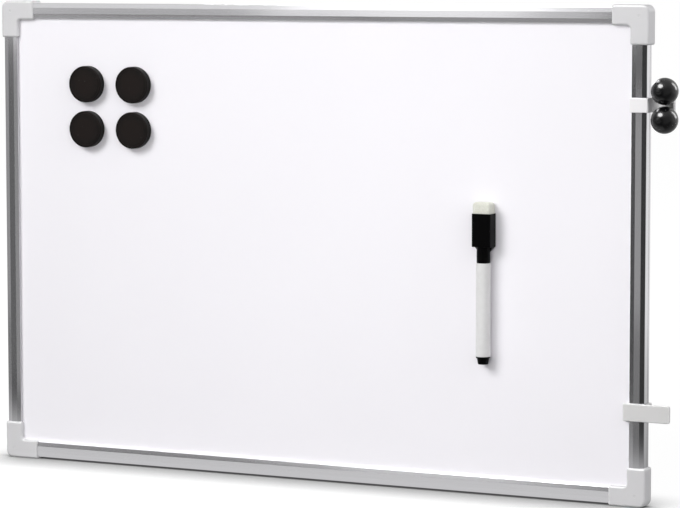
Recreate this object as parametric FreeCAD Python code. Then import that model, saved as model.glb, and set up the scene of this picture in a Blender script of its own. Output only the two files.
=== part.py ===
import FreeCAD, Part
import math
import os
from FreeCAD import Vector

# Magnetic whiteboard, 600 x 400 mm, with four disc magnets, two knob magnets,
# two clips that slide on the right-hand bar, and a marker that clings by its cap.
# Millimetres. The origin is the middle of the board on the wall plane, the front
# faces -Y, +X is to the right and +Z is up.

# Frame: overall size of the four bars
frame_width = 600.0
frame_height = 400.0
front_plane = 12.7
bar_back = 1.5

# Bar section: an aluminium extrusion with three front facets, a closed chamber
# along its outer side and a groove for the panel along its inner side
bar_width = 12.9
bar_wall = 1.2
outer_facet_width = 3.9
outer_facet_drop = 0.6
inner_facet_width = 3.7
inner_facet_drop = 0.5
chamber_width = 3.2
flange_reach = 10.4
side_groove_level = 5.0
side_groove_width = 0.7
side_groove_depth = 0.35

# Panel: lacquered steel sheet on a core board with a backing sheet
sheet_face = 10.0
sheet_thickness = 0.4
backing_thickness = 0.4
panel_corner_radius = 1.0
panel_edge_gap = 0.2

# Corner caps: one moulding used four times
cap_side_wall = 2.0
cap_front_wall = 1.3
cap_inner_lap = 1.5
cap_arm_length = 30.0
cap_outer_radius = 6.0
cap_inner_radius = 3.0
cap_arm_corner_radius = 1.8
cap_front_rounding = 2.0
cap_block_length = 14.0
tongue_reach = 20.0
tongue_lead = 1.0
gate_mark_radius = 1.3
gate_mark_depth = 0.3
gate_mark_offset = 7.0
hanging_hole_radius = 2.0
hanging_hole_depth = 9.0
hanging_hole_offset = 2.4

# Clearances
fit_gap = 0.1
slide_gap = 0.2
rest_gap = 0.05
overrun = 5.0
same_plane = 0.005

# Clips on the right-hand bar: the upper one below the frame's top, the lower one above its bottom.
# The upper one has a lug that lies on the wall, the lower one a tab level with its front
clip_wall = 1.8
clip_corner_radius = 1.2
clip_hook_depth = 3.9
clip_return_reach = 8.0
clip_edge_rounding = 0.4
lug_thickness = 2.6
lug_root_radius = 5.0
upper_clip_drop = 77.8
upper_clip_height = 11.6
upper_hook_wall = 1.0
upper_lug_reach = 18.6
lower_clip_rise = 75.1
lower_clip_height = 14.3
lower_hook_wall = 4.6
lower_tab_reach = 22.5
lower_tab_root_radius = 3.0
lower_tab_corner_radius = 1.6

# Rest plate of the upper clip, which carries the two knob magnets
rest_plate_width = 9.6
rest_plate_height = 37.0
rest_plate_thickness = 3.2
keeper_width = 6.6
keeper_height = 33.0
keeper_thickness = 1.2

# Knob magnets
knob_radius = 10.9
knob_height = 22.0
knob_base_radius = 8.2
knob_waist_level = 9.5
knob_base_edge = 0.6
knob_pitch = 22.8
knob_reach = 15.3
knob_magnet_radius = 6.0
knob_magnet_length = 5.0

# Disc magnets: a group of four, placed from the frame's left side and top
disc_radius = 15.75
disc_thickness = 7.2
disc_edge_radius = 0.8
disc_ring_radius = 13.9
disc_ring_width = 0.5
disc_ring_depth = 0.25
disc_magnet_radius = 10.0
disc_magnet_length = 4.0
disc_group_inset = 107.2
disc_group_drop = 89.15
disc_pitch_x = 46.4
disc_pitch_z = 39.0

# Marker: placed from the frame's right side; places along its axis are heights above the
# middle of the board
marker_inset = 139.2
marker_cap_bottom = -9.1
marker_block_bottom = 4.0
marker_block_height = 27.3
marker_block_width = 16.6
marker_block_depth = 11.8
marker_block_edge = 0.8
marker_axis_offset = 6.3
marker_neck_radius = 5.6
marker_gusset_height = 4.4
cap_bore_radius = 4.8
cap_bore_depth = 27.0
eraser_height = 9.7
eraser_edge = 1.6
cap_magnet_width = 9.0
cap_magnet_height = 16.0
cap_magnet_depth = 2.6
cap_magnet_drop = 4.0
barrel_radius = 6.05
barrel_length = 77.0
barrel_wall = 1.1
barrel_end_rounding = 0.5
nose_radius = 4.55
nose_length = 11.0
nose_cone_length = 5.0
nose_tip_radius = 2.6
nose_spigot_length = 12.0
nib_radius = 1.9
nib_exposed = 4.0
nib_length = 26.0
reservoir_radius = 4.4
reservoir_end_gap = 3.0
plug_flange_radius = 5.9
plug_flange_length = 1.2
plug_shank_radius = 5.0
plug_tip_radius = 4.3
plug_length = 6.3
plug_spigot_length = 7.0

# Shares: of the shorter side, radius, width or length that each one follows
corner_limit_share = 0.48
plate_round_share = 0.45
lug_tip_share = 0.35
knob_swell_share = 0.78
gusset_width_share = 0.9
gusset_back_share = 0.4
eraser_top_share = 0.5
plug_step_share = 2.0

# Values worked out from the sizes above
flange_thickness = bar_wall
groove_back = bar_back + flange_thickness
web_outer = bar_wall + chamber_width
web_inner = web_outer + bar_wall
panel_inset = web_inner + panel_edge_gap
core_front = sheet_face - sheet_thickness
core_back = groove_back + backing_thickness
side_top = front_plane - outer_facet_drop
lip_top = front_plane - inner_facet_drop
cap_front = front_plane + cap_front_wall
cap_inner_edge = bar_width + cap_inner_lap
right_side = frame_width / 2
upper_clip_level = frame_height / 2 - upper_clip_drop
lower_clip_level = lower_clip_rise - frame_height / 2
disc_group_x = disc_group_inset - frame_width / 2
disc_group_z = frame_height / 2 - disc_group_drop
marker_x = right_side - marker_inset
barrel_top = marker_cap_bottom - slide_gap
marker_axis_depth = sheet_face + rest_gap + marker_axis_offset
knob_seat = rest_plate_thickness + rest_gap
reservoir_length = barrel_length - nose_spigot_length - plug_spigot_length - reservoir_end_gap


def round_corners(points, radii):
    """Closed wire through (a, b) points in the XY plane, each corner rounded by its radius."""
    count = len(points)
    starts, ends, mids = [], [], []
    for i, (corner, radius) in enumerate(zip(points, radii)):
        here = Vector(corner[0], corner[1], 0)
        back = Vector(*points[i - 1], 0) - here
        ahead = Vector(*points[(i + 1) % count], 0) - here
        half_angle = back.getAngle(ahead) / 2
        back_unit = Vector(back).normalize()
        ahead_unit = Vector(ahead).normalize()
        shorter = min(back.Length, ahead.Length)
        setback = min(radius / math.tan(half_angle), corner_limit_share * shorter)
        starts.append(here + back_unit * setback)
        ends.append(here + ahead_unit * setback)
        bisector = (back_unit + ahead_unit).normalize()
        limited = setback * math.tan(half_angle)
        mids.append(here + bisector * (limited / math.sin(half_angle) - limited))
    edges = []
    for i in range(count):
        if radii[i] > 0:
            edges.append(Part.Arc(starts[i], mids[i], ends[i]).toShape())
        following = starts[(i + 1) % count]
        if (following - ends[i]).Length > Part.Precision.confusion():
            edges.append(Part.LineSegment(ends[i], following).toShape())
    return Part.Wire(edges)


def front_plate(points, radii, back, front):
    """Plate whose outline lies in the X-Z plane, between two distances from the wall."""
    face = Part.Face(round_corners(points, radii))
    face.rotate(Vector(0, 0, 0), Vector(1, 0, 0), 90)
    face.translate(Vector(0, -back, 0))
    return face.extrude(Vector(0, back - front, 0))


def front_box(x_low, x_high, z_low, z_high, back, front):
    """Box between two X, two Z and two distances from the wall."""
    size = Vector(x_high - x_low, front - back, z_high - z_low)
    return Part.makeBox(size.x, size.y, size.z, Vector(x_low, -front, z_low))


def rectangle(width, height):
    """Corners of a rectangle about the origin."""
    return [(-width / 2, -height / 2), (width / 2, -height / 2),
            (width / 2, height / 2), (-width / 2, height / 2)]


def turned(profile, base, direction):
    """Solid of revolution: (radius, height) profile edges turned about an axis from base."""
    solid = Part.Face(Part.Wire(profile)).revolve(Vector(0, 0, 0), Vector(0, 0, 1), 360)
    solid.Placement = FreeCAD.Placement(base, FreeCAD.Rotation(Vector(0, 0, 1), direction))
    return solid


def profile_lines(points):
    """Straight edges through (radius, height) points, closed."""
    spots = [Vector(r, 0, h) for r, h in points]
    return [Part.LineSegment(a, b).toShape() for a, b in zip(spots, spots[1:] + spots[:1])]


def disc(radius, length, base, direction):
    return Part.makeCylinder(radius, length, base, direction)


def fillet_where(solid, radius, wanted):
    """Round the edges that the test picks."""
    edges = [edge for edge in solid.Edges if wanted(edge)]
    return solid.makeFillet(radius, edges) if edges else solid


def at_depth(edge, depth):
    """True where the whole edge lies at one distance from the wall."""
    box = edge.BoundBox
    tolerance = same_plane
    return abs(box.YMin + depth) < tolerance and abs(box.YMax + depth) < tolerance


# Bar section in (inward from the outer side, away from the wall)

def bar_outline(gap=0.0):
    """Outer shape of the bar without its groove, grown by a gap."""
    far_facet = bar_width - inner_facet_width
    return [(-gap, bar_back - gap), (-gap, side_top + gap), (outer_facet_width - gap, front_plane + gap),
            (far_facet + gap, front_plane + gap), (bar_width + gap, lip_top + gap),
            (bar_width + gap, bar_back - gap)]


def bar_section_points():
    """The open section: outer side, three facets, lip, groove and back flange."""
    far_facet = bar_width - inner_facet_width
    lip_foot = sheet_face + rest_gap
    groove_top = side_groove_level + side_groove_width / 2
    groove_bottom = side_groove_level - side_groove_width / 2
    return [(0, bar_back), (0, groove_bottom), (side_groove_depth, side_groove_level), (0, groove_top),
            (0, side_top), (outer_facet_width, front_plane), (far_facet, front_plane),
            (bar_width, lip_top), (bar_width, lip_foot), (bar_width - bar_wall, lip_foot),
            (bar_width - bar_wall, lip_top - bar_wall), (far_facet, front_plane - bar_wall),
            (web_inner, front_plane - bar_wall), (web_inner, groove_back),
            (flange_reach, groove_back), (flange_reach, bar_back)]


def chamber_points():
    slope = outer_facet_drop / outer_facet_width
    low_corner = side_top + slope * bar_wall - bar_wall
    high_corner = min(side_top + slope * web_outer, front_plane) - bar_wall
    return [(bar_wall, groove_back), (bar_wall, low_corner), (web_outer, high_corner),
            (web_outer, groove_back)]


def section_face(points, start):
    """Section as a face across the X axis at start, for a bar that runs along +X."""
    spots = [Vector(start, -v, u) for u, v in points]
    return Part.Face(Part.makePolygon(spots + spots[:1]))


def bar_run(points, start, length):
    return section_face(points, start).extrude(Vector(length, 0, 0))


def make_bar(side_length):
    """Bar along X with its outer side on Z = 0; its ends stop inside the corner caps."""
    start = -side_length / 2 + cap_block_length
    length = side_length - 2 * cap_block_length
    return bar_run(bar_section_points(), start, length).cut(bar_run(chamber_points(), start, length))


def turn_to_side(shape, quarter_turns):
    """Turn about Y: 0 is the bottom, 1 the left, 2 the top, 3 the right."""
    turned_shape = shape.copy()
    turned_shape.rotate(Vector(0, 0, 0), Vector(0, 1, 0), 90 * quarter_turns)
    return turned_shape


def make_bars():
    down = Vector(0, 0, -frame_height / 2)
    left = Vector(-frame_width / 2, 0, 0)
    places = {"frame_bottom": (frame_width, 0, down), "frame_left": (frame_height, 1, left),
              "frame_top": (frame_width, 2, down * -1), "frame_right": (frame_height, 3, left * -1)}
    bars = {}
    for name, (side_length, turns, shift) in places.items():
        bar = turn_to_side(make_bar(side_length), turns)
        bar.translate(shift)
        bars[name] = bar
    return bars


# Corner caps

def tongue(along_z):
    """Tapered tongue that presses into the chamber of one bar."""
    low = bar_wall + fit_gap
    high = web_outer - fit_gap
    back = groove_back + fit_gap
    front = chamber_points()[1][1] - fit_gap
    root = cap_block_length - fit_gap
    tip = cap_block_length + tongue_reach
    outline = [(root, low), (tip - tongue_lead, low), (tip, low + tongue_lead / 2),
               (tip, high - tongue_lead / 2), (tip - tongue_lead, high), (root, high)]
    if along_z:
        outline = [(z, x) for x, z in reversed(outline)]
    return front_plate(outline, [0] * len(outline), back, front)


def bar_room(along_z):
    """Space that one bar takes inside the cap."""
    start = cap_block_length - fit_gap
    room = bar_run(bar_outline(fit_gap), start, cap_arm_length)
    if along_z:
        room = room.mirror(Vector(0, 0, 0), Vector(1, 0, -1))
    return room


def make_cap():
    """Cap for the bottom left corner, whose frame corner is at the origin."""
    out = -cap_side_wall
    outline = [(out, out), (cap_arm_length, out), (cap_arm_length, cap_inner_edge),
               (cap_inner_edge, cap_inner_edge), (cap_inner_edge, cap_arm_length), (out, cap_arm_length)]
    arm = cap_arm_corner_radius
    radii = [cap_outer_radius, arm, arm, cap_inner_radius, arm, arm]
    cap = front_plate(outline, radii, 0, cap_front)
    cap = fillet_where(cap, cap_front_rounding, lambda edge: at_depth(edge, cap_front))
    for along_z in (False, True):
        cap = cap.cut(bar_room(along_z))
    room = panel_inset - fit_gap
    far = cap_arm_length + overrun
    cap = cap.cut(front_box(room, far, room, far, groove_back - fit_gap, sheet_face + rest_gap))
    for along_z in (False, True):
        cap = cap.fuse(tongue(along_z))
    spot = Vector(gate_mark_offset, -cap_front - overrun, gate_mark_offset)
    cap = cap.cut(disc(gate_mark_radius, gate_mark_depth + overrun, spot, Vector(0, 1, 0)))
    hole = Vector(hanging_hole_offset, overrun, hanging_hole_offset)
    return cap.cut(disc(hanging_hole_radius, hanging_hole_depth + overrun, hole, Vector(0, -1, 0)))


def make_caps():
    cap = make_cap()
    names = ["corner_cap_bottom_left", "corner_cap_top_left", "corner_cap_top_right",
             "corner_cap_bottom_right"]
    signs = [(-1, -1), (-1, 1), (1, 1), (1, -1)]
    caps = {}
    for turns, (name, (sign_x, sign_z)) in enumerate(zip(names, signs)):
        corner = turn_to_side(cap, turns)
        corner.translate(Vector(sign_x * frame_width / 2, 0, sign_z * frame_height / 2))
        caps[name] = corner
    return caps


# Panel

def make_panel():
    width = frame_width - 2 * panel_inset
    height = frame_height - 2 * panel_inset
    radii = [panel_corner_radius] * 4
    layers = {"writing_sheet": (core_front, sheet_face), "panel_core": (core_back, core_front),
              "backing_sheet": (groove_back, core_back)}
    return {name: front_plate(rectangle(width, height), radii, back, front)
            for name, (back, front) in layers.items()}


# Clips on the right-hand bar: (inward from the bar's outer side, away from the wall)

def upright_plate(points, radii, height, level):
    """Profile in plan, given inward from the right side, extruded up about a level."""
    plan = [(right_side - u, -v) for u, v in points]
    face = Part.Face(round_corners(plan, radii))
    face.translate(Vector(0, 0, level - height / 2))
    return face.extrude(Vector(0, 0, height))


def clip_band(height, level, hook_wall):
    """Band that wraps the bar: hook, front, side and a short return behind."""
    side = -slide_gap - clip_wall
    front = front_plane + slide_gap + clip_wall
    hook_in = bar_width + slide_gap
    hook_out = hook_in + hook_wall
    hook_tip = front - clip_hook_depth
    inside_front = front - clip_wall
    back_inside = bar_back - slide_gap
    points = [(clip_return_reach, 0), (side, 0), (side, front), (hook_out, front), (hook_out, hook_tip),
              (hook_in, hook_tip), (hook_in, inside_front), (-slide_gap, inside_front),
              (-slide_gap, back_inside), (clip_return_reach, back_inside)]
    soft = clip_edge_rounding
    hook_round = min(hook_wall, clip_corner_radius)
    radii = [0, 0, clip_corner_radius, hook_round, soft, soft, 0, soft, 0, 0]
    band = upright_plate(points, radii, height, level)
    ends = (level - height / 2, level + height / 2)
    return soften_rims(band, ends)


def soften_rims(solid, ends):
    """Round the outer rims of an upright band at both of its ends."""
    side = right_side + slide_gap + clip_wall
    front = front_plane + slide_gap + clip_wall

    def is_rim(edge):
        box = edge.BoundBox
        flat = any(abs(box.ZMin - z) + abs(box.ZMax - z) < same_plane for z in ends)
        on_front = box.YMin < -front + clip_corner_radius and box.YMin < -front + rest_gap
        on_side = abs(box.XMax - side) < rest_gap and abs(box.XMin - side) < rest_gap
        return flat and (on_front or on_side)
    return fillet_where(solid, clip_edge_rounding, is_rim)


def clip_lug(height, level, reach):
    """Lug that runs from the band's side to the wall and outwards, with a curved root."""
    side = -slide_gap - clip_wall
    rise = lug_thickness + lug_root_radius / corner_limit_share
    root = side + clip_wall / 2
    points = [(root, 0), (-reach, 0), (-reach, lug_thickness), (side, lug_thickness), (side, rise), (root, rise)]
    tip = lug_thickness * lug_tip_share
    return upright_plate(points, [0, 0, tip, lug_root_radius, 0, 0], height, level)


def clip_tab(height, level, reach):
    """Tab level with the band's front, which goes on past the band's side, with a curved root behind."""
    side = -slide_gap - clip_wall
    front = front_plane + slide_gap + clip_wall
    under = front - clip_wall
    flat = lower_tab_root_radius / corner_limit_share
    middle = under + clip_wall / 2
    root = upright_plate([(-slide_gap, middle), (side - flat, middle), (side - flat, under), (side, under),
                          (side, under - flat), (-slide_gap, under - flat)],
                         [0, 0, 0, lower_tab_root_radius, 0, 0], height - 2 * clip_edge_rounding, level)
    outline = [(right_side + slide_gap, level - height / 2), (right_side + reach, level - height / 2),
               (right_side + reach, level + height / 2), (right_side + slide_gap, level + height / 2)]
    corner = lower_tab_corner_radius
    tab = front_plate(outline, [0, corner, corner, 0], under, front)
    tab = fillet_where(tab, clip_edge_rounding, lambda edge: at_depth(edge, front)
                       and edge.BoundBox.XMax > right_side + slide_gap + clip_wall)
    return tab.fuse(root)


def keeper_pocket(grow):
    """Steel keeper plate, or the pocket that holds it."""
    outline = [(right_side + knob_reach + x, upper_clip_level + z)
               for x, z in rectangle(keeper_width + grow, keeper_height + grow)]
    back = rest_plate_thickness - keeper_thickness
    return front_plate(outline, [keeper_width * plate_round_share] * 4, back, rest_plate_thickness + grow)


def rest_plate():
    """Upright plate on the lug's end, behind the two knob magnets."""
    outline = [(right_side + knob_reach + x, upper_clip_level + z)
               for x, z in rectangle(rest_plate_width, rest_plate_height)]
    return front_plate(outline, [rest_plate_width * plate_round_share] * 4, 0, rest_plate_thickness)


def make_clips():
    upper = clip_band(upper_clip_height, upper_clip_level, upper_hook_wall)
    upper = upper.fuse(clip_lug(upper_clip_height, upper_clip_level, upper_lug_reach))
    upper = upper.fuse(rest_plate()).cut(keeper_pocket(fit_gap))
    lower = clip_band(lower_clip_height, lower_clip_level, lower_hook_wall)
    lower = lower.fuse(clip_tab(lower_clip_height, lower_clip_level, lower_tab_reach))
    return {"upper_clip": upper, "keeper_plate": keeper_pocket(0), "lower_clip": lower}


# Magnets: turned about an axis that points away from the wall

def knob_profile():
    """Half section of a knob: flat base, swelling side and an elliptical crown."""
    foot = Vector(knob_base_radius, 0, knob_base_edge)
    waist = Vector(knob_radius, 0, knob_waist_level)
    crown = knob_height - knob_waist_level
    swell = (knob_radius - knob_base_radius) * knob_swell_share
    middle = Vector(knob_base_radius + swell, 0, (knob_base_edge + knob_waist_level) / 2)
    base_edge = Vector(knob_base_radius - knob_base_edge, 0, 0)
    top = Vector(0, 0, knob_height)
    centre = Vector(0, 0, knob_waist_level)
    ellipse = Part.Ellipse(centre + Vector(0, 0, crown), centre + Vector(knob_radius, 0, 0), centre)
    quarter = Part.Arc(ellipse, ellipse.parameter(top), ellipse.parameter(waist)).toShape()
    return [Part.LineSegment(Vector(0, 0, 0), base_edge).toShape(),
            Part.LineSegment(base_edge, foot).toShape(),
            Part.Arc(foot, middle, waist).toShape(),
            quarter,
            Part.LineSegment(top, Vector(0, 0, 0)).toShape()]


def make_knobs():
    forward = Vector(0, -1, 0)
    parts = {}
    for name, side in (("upper", 1), ("lower", -1)):
        level = upper_clip_level + side * knob_pitch / 2
        seat = Vector(right_side + knob_reach, -knob_seat, level)
        knob = turned(knob_profile(), seat, forward)
        pocket = disc(knob_magnet_radius + fit_gap, knob_magnet_length + fit_gap, seat, forward)
        parts["knob_" + name] = knob.cut(pocket)
        parts["knob_magnet_" + name] = disc(knob_magnet_radius, knob_magnet_length, seat, forward)
    return parts


def disc_profile():
    """Half section of a disc magnet's cover: rounded edge and a fine ring near the rim."""
    edge = disc_edge_radius
    lift = edge * (1 - math.sqrt(0.5))
    top = disc_thickness
    rim = Part.Arc(Vector(disc_radius, 0, top - edge), Vector(disc_radius - lift, 0, top - lift),
                   Vector(disc_radius - edge, 0, top)).toShape()
    ring_out = disc_ring_radius + disc_ring_width / 2
    ring_in = disc_ring_radius - disc_ring_width / 2
    spots = [Vector(disc_radius - edge, 0, top), Vector(ring_out, 0, top),
             Vector(disc_ring_radius, 0, top - disc_ring_depth), Vector(ring_in, 0, top),
             Vector(0, 0, top), Vector(0, 0, 0), Vector(disc_radius, 0, 0),
             Vector(disc_radius, 0, top - edge)]
    return [rim] + [Part.LineSegment(a, b).toShape() for a, b in zip(spots, spots[1:])]


def make_discs():
    forward = Vector(0, -1, 0)
    parts = {}
    places = [(sign_x, sign_z) for sign_z in (1, -1) for sign_x in (-1, 1)]
    for number, (sign_x, sign_z) in enumerate(places, 1):
        seat = Vector(disc_group_x + sign_x * disc_pitch_x / 2, -sheet_face - rest_gap,
                      disc_group_z + sign_z * disc_pitch_z / 2)
        cover = turned(disc_profile(), seat, forward)
        pocket = disc(disc_magnet_radius + fit_gap, disc_magnet_length + fit_gap, seat, forward)
        parts["disc_cover_%d" % number] = cover.cut(pocket)
        parts["disc_magnet_%d" % number] = disc(disc_magnet_radius, disc_magnet_length, seat, forward)
    return parts


# Marker: its axis is upright, in front of the writing sheet

def axis_point(level):
    return Vector(marker_x, -marker_axis_depth, level)


def marker_outline(shrink=0.0):
    """Plan of the cap's block and of the eraser on it."""
    back = marker_axis_offset - shrink
    front = marker_block_depth - marker_axis_offset - shrink
    half = marker_block_width / 2 - shrink
    return [(marker_x - half, -marker_axis_depth - front), (marker_x + half, -marker_axis_depth - front),
            (marker_x + half, -marker_axis_depth + back), (marker_x - half, -marker_axis_depth + back)]


def marker_block(level, height, edge):
    face = Part.Face(round_corners(marker_outline(), [edge] * 4))
    face.translate(Vector(0, 0, level))
    return face.extrude(Vector(0, 0, height))


def marker_gusset():
    """Sloping underside behind the neck, from the block's back half down to the neck."""
    half = marker_block_width / 2
    back = -marker_axis_depth + marker_axis_offset
    axis = -marker_axis_depth
    top = [Vector(marker_x - half, axis, marker_block_bottom), Vector(marker_x + half, axis, marker_block_bottom),
           Vector(marker_x + half, back, marker_block_bottom), Vector(marker_x - half, back, marker_block_bottom)]
    foot_level = marker_block_bottom - marker_gusset_height
    foot_half = marker_neck_radius * gusset_width_share
    foot_back = axis + marker_neck_radius * gusset_back_share
    foot = [Vector(marker_x - foot_half, axis, foot_level), Vector(marker_x + foot_half, axis, foot_level),
            Vector(marker_x + foot_half, foot_back, foot_level), Vector(marker_x - foot_half, foot_back, foot_level)]
    wires = [Part.makePolygon(loop + loop[:1]) for loop in (top, foot)]
    return Part.makeLoft(wires, True, True)


def make_marker_cap():
    up = Vector(0, 0, 1)
    neck_length = marker_block_bottom - marker_cap_bottom
    cap = marker_block(marker_block_bottom, marker_block_height, marker_block_edge)
    cap = cap.fuse(disc(marker_neck_radius, neck_length + marker_block_edge, axis_point(marker_cap_bottom), up))
    cap = cap.fuse(marker_gusset())
    bore = disc(cap_bore_radius, cap_bore_depth + overrun, axis_point(marker_cap_bottom - overrun), up)
    cap = cap.cut(bore)
    return cap.cut(cap_magnet(fit_gap)).removeSplitter()


def cap_magnet(grow):
    """Flat magnet let into the back of the cap's block, or its pocket."""
    middle = marker_block_bottom + cap_magnet_drop + cap_magnet_height / 2
    face_depth = marker_axis_depth - marker_axis_offset
    half = cap_magnet_width / 2 + grow
    rise = cap_magnet_height / 2 + grow
    deep = min(cap_magnet_depth, marker_axis_offset - cap_bore_radius - rest_gap)
    return front_box(marker_x - half, marker_x + half, middle - rise, middle + rise,
                     face_depth - grow, face_depth + deep)


def make_eraser():
    level = marker_block_bottom + marker_block_height
    felt = marker_block(level, eraser_height, eraser_edge)
    top = level + eraser_height
    return fillet_where(felt, eraser_edge * eraser_top_share, lambda edge: abs(edge.BoundBox.ZMin - top) < same_plane)


def make_barrel():
    down = Vector(0, 0, -1)
    tube = disc(barrel_radius, barrel_length, axis_point(barrel_top), down)
    tube = fillet_where(tube, barrel_end_rounding, lambda edge: edge.Closed)
    return tube.cut(disc(barrel_radius - barrel_wall, barrel_length, axis_point(barrel_top), down))


def make_nose():
    """Nib holder: spigot in the barrel, nose inside the cap and a cone that grips the nib."""
    spigot = barrel_radius - barrel_wall
    profile = profile_lines([(nib_radius, -nose_spigot_length), (spigot, -nose_spigot_length), (spigot, 0),
                             (nose_radius, 0), (nose_radius, nose_length),
                             (nose_tip_radius, nose_length + nose_cone_length),
                             (nib_radius, nose_length + nose_cone_length)])
    return turned(profile, axis_point(barrel_top), Vector(0, 0, 1))


def make_nib():
    """Bullet nib whose tail reaches the ink reservoir."""
    tip = nose_length + nose_cone_length + nib_exposed
    straight = tip - nib_radius
    arc = Part.Arc(Vector(nib_radius, 0, straight),
                   Vector(nib_radius * math.sqrt(0.5), 0, straight + nib_radius * math.sqrt(0.5)),
                   Vector(0, 0, tip)).toShape()
    tail = tip - nib_length
    spots = [Vector(0, 0, tip), Vector(0, 0, tail), Vector(nib_radius, 0, tail), Vector(nib_radius, 0, straight)]
    lines = [Part.LineSegment(a, b).toShape() for a, b in zip(spots, spots[1:])]
    return turned([arc] + lines, axis_point(barrel_top), Vector(0, 0, 1))


def make_plug():
    """End plug: spigot in the barrel, thin flange and a tapered button."""
    spigot = barrel_radius - barrel_wall
    shank_end = plug_flange_length * plug_step_share
    profile = profile_lines([(0, -plug_spigot_length), (spigot, -plug_spigot_length), (spigot, 0),
                             (plug_flange_radius, 0), (plug_flange_radius, plug_flange_length),
                             (plug_shank_radius, shank_end), (plug_tip_radius, plug_length),
                             (0, plug_length)])
    return turned(profile, axis_point(barrel_top - barrel_length), Vector(0, 0, -1))


def make_marker():
    reservoir_top = axis_point(barrel_top - nose_spigot_length)
    return {"marker_cap": make_marker_cap(), "cap_magnet": cap_magnet(0), "cap_eraser": make_eraser(),
            "marker_barrel": make_barrel(), "nib_holder": make_nose(), "marker_nib": make_nib(),
            "ink_reservoir": make_reservoir(reservoir_top), "end_plug": make_plug()}


def make_reservoir(top):
    """Fibre rod that holds the ink; the nib's tail is let into its upper end."""
    rod = disc(reservoir_radius, reservoir_length, top, Vector(0, 0, -1))
    tail = nib_length - nib_exposed - nose_cone_length - nose_length
    let_in = tail - nose_spigot_length
    if let_in > 0:
        rod = rod.cut(disc(nib_radius, let_in, top, Vector(0, 0, -1)))
    return rod


def main():
    os.makedirs("parts", exist_ok=True)
    parts = {}
    for make in (make_bars, make_caps, make_panel, make_clips, make_knobs, make_discs, make_marker):
        parts.update(make())
    for name, shape in parts.items():
        shape.exportStep(os.path.join("parts", name + ".step"))
        print("%-26s solids %d volume %10.1f valid %s" % (name, len(shape.Solids), shape.Volume, shape.isValid()))


main()
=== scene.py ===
import math
import random

import bmesh
import bpy
from mathutils import Matrix, Vector, noise


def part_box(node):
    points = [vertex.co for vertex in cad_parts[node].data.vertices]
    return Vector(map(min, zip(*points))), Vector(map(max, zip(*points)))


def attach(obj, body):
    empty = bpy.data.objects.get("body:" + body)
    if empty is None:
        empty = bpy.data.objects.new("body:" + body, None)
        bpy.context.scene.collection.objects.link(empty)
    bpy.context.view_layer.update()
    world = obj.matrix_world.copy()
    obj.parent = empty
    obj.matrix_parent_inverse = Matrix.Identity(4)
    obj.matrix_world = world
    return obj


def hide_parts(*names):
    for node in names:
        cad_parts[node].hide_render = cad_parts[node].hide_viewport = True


# Magnetic whiteboard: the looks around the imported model. Metres; the front faces -Y, +Z is up.

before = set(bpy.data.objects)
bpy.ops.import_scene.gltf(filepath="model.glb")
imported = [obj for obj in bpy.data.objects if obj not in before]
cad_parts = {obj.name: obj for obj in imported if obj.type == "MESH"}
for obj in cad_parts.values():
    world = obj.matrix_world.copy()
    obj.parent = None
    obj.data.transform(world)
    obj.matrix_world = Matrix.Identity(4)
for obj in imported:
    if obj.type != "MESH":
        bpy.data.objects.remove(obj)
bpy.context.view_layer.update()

MM = 0.001
ARC_STEPS = 8
EDGE_STEPS = 4
ROUND_SEGMENTS = 128
AXIS_RADIUS = 0.05 * MM
WELD = 0.0005 * MM
FORWARD = Vector((0, -1, 0))
UP = Vector((0, 0, 1))

# Places and sizes read from the frame
SIDE_LOW, SIDE_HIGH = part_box("frame_right")
HALF_WIDTH = SIDE_HIGH.x
HALF_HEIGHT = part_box("frame_top")[1].z
BAR_WIDTH = SIDE_HIGH.x - SIDE_LOW.x
BAR_FRONT = -SIDE_LOW.y
BAR_BACK = -SIDE_HIGH.y
SHEET_FACE = -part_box("writing_sheet")[0].y
CAP_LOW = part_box("corner_cap_bottom_left")[0]
CAP_FRONT = -CAP_LOW.y
CAP_PROUD = -HALF_WIDTH - CAP_LOW.x


# Outlines: corners given anticlockwise, each with its own radius

# A corner's arc takes up at most this share of each side beside it
SIDE_SHARE = 0.49


def corner_turn(points, i):
    """Positive where the outline bulges at point i, negative where it is hollow."""
    a, b, c = points[i - 1], points[i], points[(i + 1) % len(points)]
    return (b[0] - a[0]) * (c[1] - b[1]) - (b[1] - a[1]) * (c[0] - b[0])


def inset(points, radii, depth):
    """The outline moved inward by depth, with corner radii to match."""
    moved, new_radii = [], []
    for i, (corner, radius) in enumerate(zip(points, radii)):
        here = Vector(corner)
        into = (here - Vector(points[i - 1])).normalized()
        out = (Vector(points[(i + 1) % len(points)]) - here).normalized()
        left_in = Vector((-into.y, into.x))
        left_out = Vector((-out.y, out.x))
        bisector = (left_in + left_out).normalized()
        moved.append(here + bisector * depth / bisector.dot(left_in))
        bulges = corner_turn(points, i) > 0
        new_radii.append(max(radius - depth, 0) if bulges else radius + depth)
    return moved, new_radii


def rounded(points, radii, steps=ARC_STEPS):
    """Points of the outline with each corner turned into an arc of steps + 1 points."""
    made = []
    for i, (corner, radius) in enumerate(zip(points, radii)):
        here = Vector(corner)
        back = Vector(points[i - 1]) - here
        ahead = Vector(points[(i + 1) % len(points)]) - here
        half = back.angle(ahead) / 2
        reach = min(radius / math.tan(half), SIDE_SHARE * back.length, SIDE_SHARE * ahead.length)
        if reach <= 0:
            made += [here.copy() for _ in range(steps + 1)]
            continue
        inward = (back.normalized() + ahead.normalized()).normalized()
        centre = here + inward * (reach / math.cos(half))
        spoke = here + back.normalized() * reach - centre
        sweep = math.copysign(math.pi - 2 * half, corner_turn(points, i))
        for step in range(steps + 1):
            turn = sweep * step / steps
            cos, sin = math.cos(turn), math.sin(turn)
            made.append(centre + Vector((spoke.x * cos - spoke.y * sin, spoke.x * sin + spoke.y * cos)))
    return made


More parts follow.
